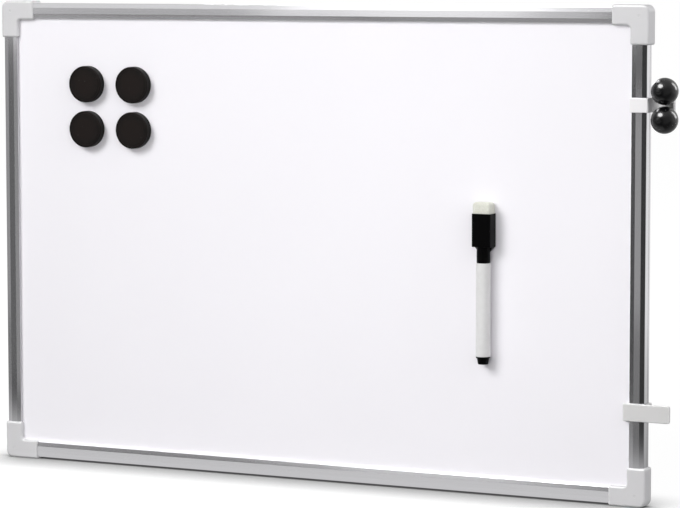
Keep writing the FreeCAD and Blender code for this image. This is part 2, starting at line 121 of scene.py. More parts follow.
def rectangle(width, height, centre):
    a, b = centre
    return [(a - width / 2, b - height / 2), (a + width / 2, b - height / 2),
            (a + width / 2, b + height / 2), (a - width / 2, b + height / 2)]


# Meshes: closed shells made of loops that all have the same number of points

def running_lengths(points):
    lengths = [0.0]
    for a, b in zip(points, points[1:]):
        lengths.append(lengths[-1] + (Vector(b) - Vector(a)).length)
    return lengths


def add_shell(bm, loops, ring):
    """Quads between the loops, and a face at each end or, for a ring, quads back to the first loop.

    The UV map runs around each loop in U and from loop to loop in V, in metres."""
    uv = bm.loops.layers.uv.get("UVMap") or bm.loops.layers.uv.new("UVMap")
    rows = [[bm.verts.new(p) for p in loop] for loop in loops]
    count = len(rows[0])
    along = running_lengths([loop[0] for loop in loops] + [loops[0][0]])
    around = running_lengths(loops[0] + [loops[0][0]])
    for k in range(len(rows) if ring else len(rows) - 1):
        low, high = rows[k], rows[(k + 1) % len(rows)]
        for i in range(count):
            j = (i + 1) % count
            face = bm.faces.new((low[i], low[j], high[j], high[i]))
            corners = ((around[i], along[k]), (around[i + 1], along[k]),
                       (around[i + 1], along[k + 1]), (around[i], along[k + 1]))
            for loop, place in zip(face.loops, corners):
                loop[uv].uv = place
    if not ring:
        bm.faces.new(list(reversed(rows[0])))
        bm.faces.new(rows[-1])


def linked_object(name, mesh):
    obj = bpy.data.objects.new(name, mesh)
    bpy.context.scene.collection.objects.link(obj)
    return obj


def solid(name, loops, ring=False):
    """Object made of one closed shell."""
    bm = bmesh.new()
    add_shell(bm, loops, ring)
    bmesh.ops.remove_doubles(bm, verts=bm.verts, dist=WELD)
    bmesh.ops.recalc_face_normals(bm, faces=bm.faces)
    mesh = bpy.data.meshes.new(name)
    bm.to_mesh(mesh)
    bm.free()
    return linked_object(name, mesh)


def apply_modifiers(obj):
    """Make the object's modifiers part of its mesh."""
    graph = bpy.context.evaluated_depsgraph_get()
    mesh = bpy.data.meshes.new_from_object(obj.evaluated_get(graph))
    obj.modifiers.clear()
    obj.data = mesh


def weld(mesh):
    """Join points that lie on each other and drop what then has no length or area."""
    bm = bmesh.new()
    bm.from_mesh(mesh)
    bmesh.ops.remove_doubles(bm, verts=bm.verts, dist=WELD)
    bmesh.ops.dissolve_degenerate(bm, edges=bm.edges, dist=WELD)
    bm.to_mesh(mesh)
    bm.free()


def combine(obj, others, operation):
    """Boolean of the object with each of the others, which are used up; each result is welded."""
    for other in others:
        modifier = obj.modifiers.new(operation.lower(), "BOOLEAN")
        modifier.object = other
        modifier.operation = operation
        modifier.solver = "EXACT"
        apply_modifiers(obj)
        weld(obj.data)
        bpy.data.objects.remove(other)
    return obj


# Only points between faces narrower than the limit are marked: fully where the rounding is as tight as the
# sharp radius, and not at all where it is as wide as the soft one
EDGE_FACE_LIMIT = 1.2 * MM
EDGE_SHARP_RADIUS = 0.4 * MM
EDGE_SOFT_RADIUS = 4.0 * MM


def mark_edges(mesh):
    """Float attribute named edge: 1 on tight outward roundings, 0 on flats and wide curves."""
    bm = bmesh.new()
    bm.from_mesh(mesh)
    widths = {f: f.calc_area() / max(e.calc_length() for e in f.edges) for f in bm.faces}
    values = []
    for vert in bm.verts:
        value = 0.0
        if vert.link_faces and max(widths[f] for f in vert.link_faces) < EDGE_FACE_LIMIT:
            for edge in vert.link_edges:
                angle = edge.calc_face_angle_signed(0) if len(edge.link_faces) == 2 else 0
                if angle > 0:
                    bend = min(widths[f] for f in edge.link_faces) / angle
                    value = max(value, (EDGE_SOFT_RADIUS - bend) / (EDGE_SOFT_RADIUS - EDGE_SHARP_RADIUS))
        values.append(min(value, 1.0) ** 2)
    bm.free()
    mesh.attributes.new("edge", "FLOAT", "POINT").data.foreach_set("value", values)


def finish_mesh(obj, crease):
    """Smooth up to the crease angle in degrees, with flats kept flat beside small roundings."""
    mesh = obj.data
    for polygon in mesh.polygons:
        polygon.use_smooth = True
    mesh.set_sharp_from_angle(angle=math.radians(crease))
    mark_edges(mesh)
    weighted = obj.modifiers.new("flat_first", "WEIGHTED_NORMAL")
    weighted.keep_sharp = True


def dress(obj, body, nodes, material, crease=35):
    """The piece rides on its body, stands for its nodes and takes its finish."""
    finish_mesh(obj, crease)
    obj.data.materials.clear()
    obj.data.materials.append(material)
    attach(obj, body)
    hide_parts(*nodes)


def turned(name, profile, base, axis, segments=ROUND_SEGMENTS, ring=False):
    """Object turned from (radius, height) points about an axis from base."""
    side = axis.orthogonal().normalized()
    other = axis.cross(side)
    angles = [2 * math.pi * i / segments for i in range(segments)]
    spokes = [side * math.cos(a) + other * math.sin(a) for a in angles]
    loops = [[base + axis * height + spoke * max(radius, AXIS_RADIUS) for spoke in spokes]
             for radius, height in profile]
    return solid(name, loops, ring)


def arc_points(centre, radii, start, end, steps):
    """Points of an elliptical arc between two angles in degrees, in a (radius, height) profile."""
    angles = [math.radians(start + (end - start) * step / steps) for step in range(steps + 1)]
    return [(centre[0] + radii[0] * math.cos(a), centre[1] + radii[1] * math.sin(a)) for a in angles]


def foot_round(radius, edge, steps=EDGE_STEPS):
    """Profile points of a rounding between the foot at height 0 and the side of a turned shape."""
    return arc_points((radius - edge, edge), (edge, edge), -90, 0, steps)


def top_round(radius, edge, height, steps=EDGE_STEPS):
    """Profile points of a rounding between the side and the top of a turned shape."""
    return arc_points((radius - edge, height - edge), (edge, edge), 0, 90, steps)


def rim_loops(points, radii, place, level, size, opens):
    """Loops of a rounded rim, whose outline is drawn in by size where the rim meets the end."""
    loops = []
    for step in range(ARC_STEPS + 1):
        angle = math.pi / 2 * step / ARC_STEPS
        depth = size * (1 - math.sin(angle))
        rise = size * (1 - math.cos(angle))
        outline = rounded(*inset(points, radii, depth))
        loops.append([place(a, b, level + (rise if opens else -rise)) for a, b in outline])
    return loops if opens else list(reversed(loops))


def raised(name, points, radii, place, low, high, low_rim, high_rim):
    """Object made of an outline raised from low to high with both rims rounded."""
    return solid(name, rim_loops(points, radii, place, low, low_rim, True)
                 + rim_loops(points, radii, place, high, high_rim, False))


# Node trees

def plug(tree, value, socket):
    if isinstance(value, bpy.types.NodeSocket):
        tree.links.new(value, socket)
    else:
        socket.default_value = value


def add_node(tree, kind, inputs=None, **settings):
    """Node with its settings and inputs, which are values or other nodes' outputs."""
    made = tree.nodes.new(kind)
    for name, value in settings.items():
        setattr(made, name, value)
    for key, value in (inputs or {}).items():
        plug(tree, value, made.inputs[key])
    return made


def calculate(tree, operation, first, second=0.0, clamp=False):
    made = add_node(tree, "ShaderNodeMath", {0: first}, operation=operation, use_clamp=clamp)
    plug(tree, second, made.inputs[1])
    return made.outputs[0]


def rescale(tree, value, from_low, from_high, to_low, to_high):
    made = add_node(tree, "ShaderNodeMapRange", {"Value": value, "From Min": from_low, "From Max": from_high,
                                                 "To Min": to_low, "To Max": to_high})
    return made.outputs["Result"]


# Places of the colour sockets among all those of a Mix node
MIX_FACTOR, MIX_FIRST, MIX_SECOND = 0, 6, 7
MIX_RESULT = 2


def mix_colour(tree, factor, first, second, blend="MIX"):
    made = tree.nodes.new("ShaderNodeMix")
    made.data_type = "RGBA"
    made.blend_type = blend
    for index, value in ((MIX_FACTOR, factor), (MIX_FIRST, first), (MIX_SECOND, second)):
        plug(tree, value, made.inputs[index])
    return made.outputs[MIX_RESULT]


def noise_value(tree, vector, scale, detail=2.0, roughness=0.5):
    made = add_node(tree, "ShaderNodeTexNoise", {"Vector": vector, "Scale": scale, "Detail": detail,
                                                 "Roughness": roughness})
    return made.outputs["Fac"]


def scaled_vector(tree, vector, scale):
    return add_node(tree, "ShaderNodeVectorMath", {0: vector, 1: scale}, operation="MULTIPLY").outputs[0]


def object_place(tree):
    return add_node(tree, "ShaderNodeTexCoord").outputs["Object"]


def bump_normal(tree, height, strength, distance):
    made = add_node(tree, "ShaderNodeBump", {"Strength": strength, "Distance": distance, "Height": height})
    return made.outputs["Normal"]


def grey(value):
    return (value, value, value, 1.0)


SOCKET_KINDS = {"colour": "NodeSocketColor", "value": "NodeSocketFloat", "vector": "NodeSocketVector"}


def new_group(name, inputs, outputs):
    """Shader node group with its input and output sockets: (label, kind, default) and (label, kind)."""
    group = bpy.data.node_groups.new(name, "ShaderNodeTree")
    for label, kind, default in inputs:
        socket = group.interface.new_socket(label, in_out="INPUT", socket_type=SOCKET_KINDS[kind])
        if default is not None:
            socket.default_value = default
    for label, kind in outputs:
        group.interface.new_socket(label, in_out="OUTPUT", socket_type=SOCKET_KINDS[kind])
    return group, group.nodes.new("NodeGroupInput").outputs, group.nodes.new("NodeGroupOutput").inputs


def swing(tree, value, amount):
    """From minus to plus the amount as the value runs from 0 to 1."""
    both_ways = calculate(tree, "MULTIPLY", calculate(tree, "SUBTRACT", value, 0.5), 2.0)
    return calculate(tree, "MULTIPLY", both_ways, amount)


def toned(tree, colour, value, amount):
    """The colour times a factor from 1 - amount to 1 + amount as the value runs from 0 to 1."""
    factor = calculate(tree, "ADD", swing(tree, value, amount), 1.0)
    shade = add_node(tree, "ShaderNodeCombineColor", {"Red": factor, "Green": factor, "Blue": factor})
    return mix_colour(tree, 1.0, colour, shade.outputs[0], "MULTIPLY")


def varied(tree, middle, value, spread):
    """The middle value moved up or down by up to spread as the value runs from 0 to 1."""
    return calculate(tree, "ADD", middle, swing(tree, value, spread))


def average(tree, first, second):
    return calculate(tree, "MULTIPLY", calculate(tree, "ADD", first, second), 0.5)


# Noises are (scale, detail) or (scale, detail, roughness); rescalings are (from, from, to, to)
GRAIN_CLOUD = (45.0, 4.0)
GRAIN_PATCH = (160.0, 3.0)
PATCH_HEIGHT = 1.5
GRAIN_BUMP = 0.1 * MM


def group_moulded_grain():
    """Injection moulded surface: cloudy tone, fine grain and uneven gloss."""
    group, given, result = new_group(
        "moulded_grain",
        [("Color", "colour", grey(0.8)), ("Tone", "value", 0.03), ("Roughness", "value", 0.4),
         ("Spread", "value", 0.05), ("Grain Scale", "value", 1500.0), ("Grain Depth", "value", 0.2)],
        [("Color", "colour"), ("Roughness", "value"), ("Normal", "vector")])
    place = object_place(group)
    cloud = noise_value(group, place, *GRAIN_CLOUD)
    patch = noise_value(group, place, *GRAIN_PATCH)
    grain = noise_value(group, place, given["Grain Scale"])
    height = calculate(group, "ADD", grain, calculate(group, "MULTIPLY", patch, PATCH_HEIGHT))
    plug(group, toned(group, given["Color"], cloud, given["Tone"]), result["Color"])
    plug(group, varied(group, given["Roughness"], patch, given["Spread"]), result["Roughness"])
    plug(group, bump_normal(group, height, given["Grain Depth"], GRAIN_BUMP), result["Normal"])
    return group


WEAR_AND_HIGHLIGHT_NOISE = (5.0, 0.65)
WEAR_AND_HIGHLIGHT_BREAKUP = (0.38, 0.62, 0.15, 1.0)


def group_edge_wear_and_highlight():
    """Outward edges rubbed by hands, and lit by a painted highlight: the edge attribute broken up by noise.
    """
    group, given, result = new_group(
        "edge_wear_and_highlight",
        [("Color", "colour", grey(0.8)), ("Worn Color", "colour", grey(0.9)), ("Amount", "value", 0.5),
         ("Breakup Scale", "value", 300.0)],
        [("Color", "colour"), ("Mask", "value")])
    edge = add_node(group, "ShaderNodeAttribute", attribute_name="edge").outputs["Fac"]
    breakup = noise_value(group, object_place(group), given["Breakup Scale"], *WEAR_AND_HIGHLIGHT_NOISE)
    worn_and_lit = calculate(group, "MULTIPLY", edge, rescale(group, breakup, *WEAR_AND_HIGHLIGHT_BREAKUP))
    mask = calculate(group, "MULTIPLY", worn_and_lit, given["Amount"], clamp=True)
    # Where the worn colour is lighter than the surface, this mix also paints a highlight along the edges
    plug(group, mix_colour(group, mask, given["Color"], given["Worn Color"]), result["Color"])
    plug(group, mask, result["Mask"])
    return group


# A speck fades out from its middle, and a face keeps more of them the more it looks up
SPECK_FADE = (0.12, 0.22, 1.0, 0.0)
SPECKS_BY_FACING = (-0.5, 1.0, 0.4, 1.6)
SPECK_STRENGTH = 0.7


def group_dust_specks():
    """Sparse fine specks of dust, more of them on faces that look up."""
    group, given, result = new_group(
        "dust_specks",
        [("Color", "colour", grey(0.1)), ("Dust Color", "colour", grey(0.5)), ("Amount", "value", 0.2),
         ("Scale", "value", 700.0)],
        [("Color", "colour"), ("Mask", "value")])
    cells = add_node(group, "ShaderNodeTexVoronoi", {"Vector": object_place(group), "Scale": given["Scale"]})
    spot = rescale(group, cells.outputs["Distance"], *SPECK_FADE)
    pick = add_node(group, "ShaderNodeSeparateColor", {"Color": cells.outputs["Color"]}).outputs["Red"]
    facing = add_node(group, "ShaderNodeNewGeometry").outputs["Normal"]
    upward = add_node(group, "ShaderNodeSeparateXYZ", {"Vector": facing}).outputs["Z"]
    chance = calculate(group, "MULTIPLY", given["Amount"], rescale(group, upward, *SPECKS_BY_FACING))
    chosen = calculate(group, "LESS_THAN", pick, chance)
    shown = calculate(group, "MULTIPLY", spot, chosen)
    mask = calculate(group, "MULTIPLY", shown, SPECK_STRENGTH, clamp=True)
    plug(group, mix_colour(group, mask, given["Color"], given["Dust Color"]), result["Color"])
    plug(group, mask, result["Mask"])
    return group


LINE_STRETCH = (1.0, 0.01, 1.0)
LINE_DETAIL = 3.0
LINE_BUMP = 0.02 * MM
BAND_FINENESS_SHARE = 0.16
STREAK_CLOUD = (18.0, 3.0)


def group_drawn_streaks():
    """Lines left by drawing or rolling; the vector runs across the metal in X and along it in Y."""
    group, given, result = new_group(
        "drawn_streaks",
        [("Vector", "vector", None), ("Color", "colour", grey(0.7)), ("Tone", "value", 0.08),
         ("Roughness", "value", 0.3), ("Spread", "value", 0.08), ("Fineness", "value", 5000.0),
         ("Depth", "value", 0.1)],
        [("Color", "colour"), ("Roughness", "value"), ("Normal", "vector")])
    stretched = scaled_vector(group, given["Vector"], LINE_STRETCH)
    lines = noise_value(group, stretched, given["Fineness"], LINE_DETAIL)
    band_fineness = calculate(group, "MULTIPLY", given["Fineness"], BAND_FINENESS_SHARE)
    bands = noise_value(group, stretched, band_fineness)
    cloud = noise_value(group, given["Vector"], *STREAK_CLOUD)
    streak = average(group, lines, bands)
    uneven = average(group, bands, cloud)
    plug(group, toned(group, given["Color"], streak, given["Tone"]), result["Color"])
    plug(group, varied(group, given["Roughness"], uneven, given["Spread"]), result["Roughness"])
    plug(group, bump_normal(group, lines, given["Depth"], LINE_BUMP), result["Normal"])
    return group


STRAND_STRETCHES = ((1.0, 0.22, 0.4), (0.3, 1.0, 0.25), (0.4, 0.3, 1.0))
STRAND_NOISE = (4.0, 0.6)
STRAND_TONE = (0.42, 0.72, 0.0, 1.0)
STRAND_BUMP = 0.15 * MM


def group_felt_fibres():
    """Matted fibres: short crossing strands in height, with painted shade in the low parts between them."""
    group, given, result = new_group(
        "felt_fibres",
        [("Color", "colour", grey(0.8)), ("Shade Color", "colour", grey(0.5)), ("Scale", "value", 1200.0),
         ("Depth", "value", 0.6)],
        [("Color", "colour"), ("Normal", "vector")])
    place = object_place(group)
    strands = 0.0
    for stretch in STRAND_STRETCHES:
        wave = noise_value(group, scaled_vector(group, place, stretch), given["Scale"], *STRAND_NOISE)
        strands = calculate(group, "MAXIMUM", wave, strands)
    # Painted shade: the low parts between strands take the darker shade colour
    lit = rescale(group, strands, *STRAND_TONE)
    plug(group, mix_colour(group, lit, given["Shade Color"], given["Color"]), result["Color"])
    plug(group, bump_normal(group, strands, given["Depth"], STRAND_BUMP), result["Normal"])
    return group


MOULDED_GRAIN = group_moulded_grain()
EDGE_WEAR_AND_HIGHLIGHT = group_edge_wear_and_highlight()
DUST_SPECKS = group_dust_specks()
DRAWN_STREAKS = group_drawn_streaks()
FELT_FIBRES = group_felt_fibres()


def use_group(tree, group, **inputs):
    made = add_node(tree, "ShaderNodeGroup", node_tree=group)
    for name, value in inputs.items():
        plug(tree, value, made.inputs[name.replace("_", " ")])
    return made.outputs


# Materials

def new_material(name, **plain):
    """Material with a Principled shader whose named sockets take plain values."""
    material = bpy.data.materials.new(name)
    material.use_nodes = True
    shader = material.node_tree.nodes["Principled BSDF"]
    for socket, value in plain.items():
        shader.inputs[socket.replace("_", " ")].default_value = value
    return material, material.node_tree, shader.inputs


def plug_surface(tree, shader, colour, surface):
    """The colour, and a surface group's roughness and normal, go into the shader."""
    plug(tree, colour, shader["Base Color"])
    for label in ("Roughness", "Normal"):
        plug(tree, surface[label], shader[label])


def moulded(name, colour, worn_and_highlight, roughness, tone=0.025, spread=0.05, grain=1500.0, depth=0.15,
            wear_and_highlight=0.5, dust=0.0, dust_colour=grey(0.6), **plain):
    """Moulded plastic: grain, rubbed edges with a painted highlight and, where asked for, dust."""
    material, tree, shader = new_material(name, **plain)
    surface = use_group(tree, MOULDED_GRAIN, Color=colour, Tone=tone, Roughness=roughness, Spread=spread,
                        Grain_Scale=grain, Grain_Depth=depth)
    # Edges in the worn colour: wear, and a painted highlight where that colour is lighter
    last = use_group(tree, EDGE_WEAR_AND_HIGHLIGHT, Color=surface["Color"], Worn_Color=worn_and_highlight, Amount=wear_and_highlight)["Color"]
    if dust:
        last = use_group(tree, DUST_SPECKS, Color=last, Dust_Color=dust_colour, Amount=dust)["Color"]
    plug_surface(tree, shader, last, surface)
    return material


METAL_DUST = {"Dust_Color": grey(0.85), "Scale": 420.0}


def streaked(material, vector, dust=0.0, **streaks):
    """Drawn streaks, and dust where asked for, on a metal's shader."""
    tree = material.node_tree
    shader = tree.nodes["Principled BSDF"].inputs
    surface = use_group(tree, DRAWN_STREAKS, Vector=vector, **streaks)
    last = surface["Color"]
    if dust:
        last = use_group(tree, DUST_SPECKS, Color=last, Amount=dust, **METAL_DUST)["Color"]
    plug_surface(tree, shader, last, surface)
    return material


def satin_aluminium():
    """Drawn and anodised: the lines run along each bar, and reflections spread across it."""
    material, tree, shader = new_material("satin_aluminium", Metallic=1.0, Anisotropic=0.8)
    tangent = add_node(tree, "ShaderNodeTangent", direction_type="UV_MAP", uv_map="UVMap")
    plug(tree, tangent.outputs["Tangent"], shader["Tangent"])
    return streaked(material, add_node(tree, "ShaderNodeTexCoord").outputs["UV"], dust=0.03,
                    Color=(0.75, 0.745, 0.765, 1.0), Roughness=0.13, Tone=0.06, Spread=0.02, Fineness=6000.0,
                    Depth=0.06)


def rolled_steel(name, **streaks):
    """Sheet steel with rolling lines along the board's width."""
    material, tree, _ = new_material(name, Metallic=1.0)
    split = add_node(tree, "ShaderNodeSeparateXYZ", {"Vector": object_place(tree)}).outputs
    across = add_node(tree, "ShaderNodeCombineXYZ", {"X": split["Z"], "Y": split["X"], "Z": split["Y"]})
    return streaked(material, across.outputs[0], **streaks)


CRYSTAL_SCALE = 130.0
CRYSTAL_TONE = 0.10


def zinc_coated():
    """Zinc coated backing: small crystal patches under faint rolling lines."""
    material = rolled_steel("zinc_sheet", Color=(0.60, 0.62, 0.63, 1.0), Roughness=0.42, Tone=0.05,
                            Spread=0.06, Fineness=1500.0, Depth=0.05)
    tree = material.node_tree
    socket = tree.nodes["Principled BSDF"].inputs["Base Color"]
    crystals = add_node(tree, "ShaderNodeTexVoronoi", {"Vector": object_place(tree), "Scale": CRYSTAL_SCALE})
    patch = add_node(tree, "ShaderNodeSeparateColor", {"Color": crystals.outputs["Color"]}).outputs["Red"]
    plug(tree, toned(tree, socket.links[0].from_socket, patch, CRYSTAL_TONE), socket)
    return material


LACQUER_COLOUR = (0.905, 0.888, 0.925, 1.0)
LACQUER_CLOUD = (6.0, 3.0)
LACQUER_TONE = 0.012
WIPE_STRETCH = (1.0, 1.0, 0.25)
WIPE_NOISE = (22.0, 5.0, 0.6)
WIPE_GLOSS = (0.45, 0.75, 0.34, 0.42)
PEEL_SCALE = 330.0
PEEL_DEPTH = 0.06
PEEL_BUMP = 0.1 * MM


def lacquered_sheet():
    """Glossy white lacquer with a trace of orange peel and faint wiping marks in its gloss."""
    material, tree, shader = new_material("white_lacquer")
    place = object_place(tree)
    cloud = noise_value(tree, place, *LACQUER_CLOUD)
    wipes = noise_value(tree, scaled_vector(tree, place, WIPE_STRETCH), *WIPE_NOISE)
    smear = rescale(tree, wipes, *WIPE_GLOSS)
    peel = noise_value(tree, place, PEEL_SCALE)
    plug(tree, toned(tree, LACQUER_COLOUR, cloud, LACQUER_TONE), shader["Base Color"])
    plug(tree, smear, shader["Roughness"])
    plug(tree, bump_normal(tree, peel, PEEL_DEPTH, PEEL_BUMP), shader["Normal"])
    return material


def fibrous(name, colour, shade, scale, depth, **plain):
    """Felt, fibre rod or pressed board, with painted shade between the fibres."""
    material, tree, shader = new_material(name, **plain)
    surface = use_group(tree, FELT_FIBRES, Color=colour, Shade_Color=shade, Scale=scale, Depth=depth)
    plug(tree, surface["Color"], shader["Base Color"])
    plug(tree, surface["Normal"], shader["Normal"])
    return material


aluminium = satin_aluminium()
keeper_steel = rolled_steel("keeper_steel", Color=grey(0.52), Roughness=0.38, Tone=0.08, Spread=0.08,
                            Fineness=3000.0, Depth=0.1)
zinc_sheet = zinc_coated()
sheet_lacquer = lacquered_sheet()
# The second colour of each fibrous finish is painted shade between its fibres
core_board = fibrous("core_board", (0.60, 0.44, 0.29, 1.0), (0.40, 0.27, 0.16, 1.0), 500.0, 0.3,
                     Roughness=0.85)
cap_plastic = moulded("cap_plastic", (0.64, 0.635, 0.645, 1.0), grey(0.71), 0.42)
clip_white = moulded("clip_plastic", (0.86, 0.845, 0.855, 1.0), grey(0.90), 0.45)
# The lower clip is the same white plastic as the upper one; this darker copy is painted shade, as the light
# falls off lower on the board
clip_painted_shade = moulded("clip_plastic_painted_shade", (0.65, 0.645, 0.64, 1.0), grey(0.80), 0.45)
knob_plastic = moulded("knob_plastic", (0.0030, 0.0030, 0.0035, 1.0), grey(0.015), 0.22, spread=0.03,
                       grain=900.0, depth=0.05, wear_and_highlight=0.3, dust=0.05)
disc_plastic = moulded("disc_plastic", (0.0100, 0.0070, 0.0062, 1.0), grey(0.004), 0.55, tone=0.10,
                       grain=2600.0, depth=0.3, wear_and_highlight=0.9, dust=0.03, dust_colour=grey(0.12),
                       Specular_IOR_Level=0.10)
ferrite = moulded("ferrite", (0.055, 0.055, 0.06, 1.0), grey(0.12), 0.65, tone=0.2, grain=2200.0, depth=0.5,
                  wear_and_highlight=0.6)
marker_black = moulded("marker_black", (0.0008, 0.0008, 0.0010, 1.0), grey(0.006), 0.33, spread=0.04,
                       grain=1800.0, depth=0.1, dust=0.02, dust_colour=grey(0.05), Specular_IOR_Level=0.06)
barrel_plastic = moulded("barrel_plastic", (0.70, 0.695, 0.69, 1.0), grey(0.78), 0.36, depth=0.05)
eraser_felt = fibrous("eraser_felt", (0.74, 0.74, 0.68, 1.0), (0.62, 0.62, 0.54, 1.0), 1500.0, 0.5,
                      Roughness=0.95, Specular_IOR_Level=0.1, Sheen_Weight=0.3, Sheen_Roughness=0.5)
nib_fibre = fibrous("nib_fibre", (0.020, 0.020, 0.026, 1.0), (0.008, 0.008, 0.010, 1.0), 2500.0, 0.5,
                    Roughness=0.8)
ink_fibre = fibrous("ink_fibre", (0.16, 0.16, 0.20, 1.0), (0.05, 0.05, 0.08, 1.0), 1500.0, 0.6,
                    Roughness=0.85)


# Frame bars: (inward from the outer side, away from the wall), run along each side

BAR_WALL = 1.2 * MM
FACET_OUTER = 3.9 * MM
FACET_OUTER_DROP = 0.6 * MM
FACET_INNER = 3.7 * MM
FACET_INNER_DROP = 0.5 * MM
WEB_INNER = 5.6 * MM
FLANGE_REACH = 10.4 * MM
GROOVE_LEVEL = 5.0 * MM
GROOVE_HALF = 0.35 * MM
BAR_EDGE = 0.22 * MM
BAR_EDGE_STEPS = 3
REST_GAP = 0.05 * MM


def bar_profile():
    """Section of a bar: web, flange behind the panel, front of three facets and lip above the sheet."""
    far = BAR_WIDTH - FACET_INNER
    lip = BAR_FRONT - FACET_INNER_DROP
    foot = SHEET_FACE + REST_GAP
    flange = BAR_BACK + BAR_WALL
    inner = BAR_WIDTH - BAR_WALL
    under = BAR_FRONT - BAR_WALL
    return [(0, BAR_BACK), (FLANGE_REACH, BAR_BACK), (FLANGE_REACH, flange), (WEB_INNER, flange),
            (WEB_INNER, under), (far, under), (inner, lip - BAR_WALL),
            (inner, foot), (BAR_WIDTH, foot), (BAR_WIDTH, lip), (far, BAR_FRONT), (FACET_OUTER, BAR_FRONT),
            (0, BAR_FRONT - FACET_OUTER_DROP), (0, GROOVE_LEVEL + GROOVE_HALF), (GROOVE_HALF, GROOVE_LEVEL),
            (0, GROOVE_LEVEL - GROOVE_HALF)]


SIDES = {
    "bottom": lambda s, u, v: Vector((s, -v, -HALF_HEIGHT + u)),
    "top": lambda s, u, v: Vector((s, -v, HALF_HEIGHT - u)),
    "left": lambda s, u, v: Vector((-HALF_WIDTH + u, -v, s)),
    "right": lambda s, u, v: Vector((HALF_WIDTH - u, -v, s)),
}


def make_bar(side):
    node = "frame_" + side
    place = SIDES[side]
    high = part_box(node)[1]
    half = high.x if side in ("top", "bottom") else high.z
    profile = bar_profile()
    outline = rounded(profile, [BAR_EDGE] * len(profile), BAR_EDGE_STEPS)
    loops = [[place(s, u, v) for u, v in outline] for s in (-half, half)]
    dress(solid(node + "_extrusion", loops), "root", [node], aluminium, crease=50)


# Corner caps: a moulding with rooms for two bars and the panel, a hanging hole and a gate mark

CAP_ARM = 30.0 * MM
CAP_LAP = 1.5 * MM
CAP_OUTER_RADIUS = 6.0 * MM
CAP_INNER_RADIUS = 3.0 * MM
CAP_ARM_RADIUS = 1.8 * MM
CAP_FRONT_ROUND = 2.1 * MM
CAP_BACK_ROUND = 0.3 * MM
CAP_BLOCK = 14.0 * MM
FIT_GAP = 0.1 * MM
OVERRUN = 5.0 * MM
GATE_RADIUS = 1.3 * MM
GATE_FLOOR_SHARE = 0.8
GATE_DEPTH = 0.3 * MM
GATE_OFFSET = 7.0 * MM
HOLE_RADIUS = 2.0 * MM
HOLE_DEPTH = 9.0 * MM
HOLE_OFFSET = 2.4 * MM
ROUND_CUT_SEGMENTS = 48


def cap_outline():
    out = -CAP_PROUD
    lap = BAR_WIDTH + CAP_LAP
    arm = CAP_ARM_RADIUS
    points = [(out, out), (CAP_ARM, out), (CAP_ARM, lap), (lap, lap), (lap, CAP_ARM), (out, CAP_ARM)]
    return points, [CAP_OUTER_RADIUS, arm, arm, CAP_INNER_RADIUS, arm, arm]


def bar_room_outline():
    """The bar's outer shape, grown by the fit gap."""
    gap = FIT_GAP
    far = BAR_WIDTH - FACET_INNER
    return [(-gap, BAR_BACK - gap), (BAR_WIDTH + gap, BAR_BACK - gap),
            (BAR_WIDTH + gap, BAR_FRONT - FACET_INNER_DROP + gap), (far + gap, BAR_FRONT + gap),
            (FACET_OUTER - gap, BAR_FRONT + gap), (-gap, BAR_FRONT - FACET_OUTER_DROP + gap)]


def make_cap(node, sign_x, sign_z):
    def place(a, b, v):
        return Vector((sign_x * (HALF_WIDTH - a), -v, sign_z * (HALF_HEIGHT - b)))

    def round_cut(name, profile, offset, level):
        return turned(name, profile, place(offset, offset, level), FORWARD, ROUND_CUT_SEGMENTS)

    cap = raised(node + "_moulding", *cap_outline(), place, 0.0, CAP_FRONT, CAP_BACK_ROUND, CAP_FRONT_ROUND)
    start, end = CAP_BLOCK - FIT_GAP, CAP_ARM + OVERRUN
    room = bar_room_outline()
    along_x = solid("room_x", [[place(s, u, v) for u, v in room] for s in (start, end)])
    along_z = solid("room_z", [[place(u, s, v) for u, v in room] for s in (start, end)])
    inner = WEB_INNER + FIT_GAP
    slab = rectangle(end - inner, end - inner, ((end + inner) / 2, (end + inner) / 2))
    back, front = BAR_BACK + BAR_WALL - FIT_GAP, SHEET_FACE + REST_GAP
    panel = solid("room_panel", [[place(a, b, v) for a, b in slab] for v in (back, front)])
    hole = round_cut("hole", [(HOLE_RADIUS, -OVERRUN), (HOLE_RADIUS, HOLE_DEPTH)], HOLE_OFFSET, 0)
    gate = round_cut("gate", [(GATE_RADIUS * GATE_FLOOR_SHARE, -GATE_DEPTH), (GATE_RADIUS, 0),
                              (GATE_RADIUS, OVERRUN)], GATE_OFFSET, CAP_FRONT)
    combine(cap, [along_x, along_z, panel, hole, gate], "DIFFERENCE")
    dress(cap, "root", [node], cap_plastic)


# Clips on the right-hand bar: (inward from the bar's outer side, away from the wall)

CLIP_WALL = 1.8 * MM
SLIDE_GAP = 0.2 * MM
CLIP_CORNER = 1.2 * MM
CLIP_HOOK_DEPTH = 3.9 * MM
CLIP_RETURN = 8.0 * MM
UPPER_CLIP_RIM = 0.45 * MM
LOWER_CLIP_RIM = 0.8 * MM
CLIP_SOFT = 0.3 * MM
LUG_THICKNESS = 2.6 * MM
LUG_ROOT = 5.0 * MM
LUG_TIP = 0.9 * MM
TAB_ROOT = 3.0 * MM
TAB_CORNER = 1.6 * MM
TAB_CORNER_STEPS = 6
LOWER_HOOK_WALL = 4.6 * MM
UPPER_HOOK_WALL = 1.0 * MM
UPPER_CLIP_HEIGHT = 11.6 * MM
UPPER_LUG_REACH = 18.6 * MM
REST_PLATE_WIDTH = 9.6 * MM
REST_PLATE_THICKNESS = 3.2 * MM
REST_PLATE_OFF_WALL = 0.05 * MM
PLATE_ROUND_SHARE = 0.45
CLIP_FRONT = BAR_FRONT + SLIDE_GAP + CLIP_WALL
CLIP_UNDER = CLIP_FRONT - CLIP_WALL
CLIP_SIDE = -SLIDE_GAP - CLIP_WALL


def clip_place(u, v, z):
    return Vector((HALF_WIDTH - u, -v, z))


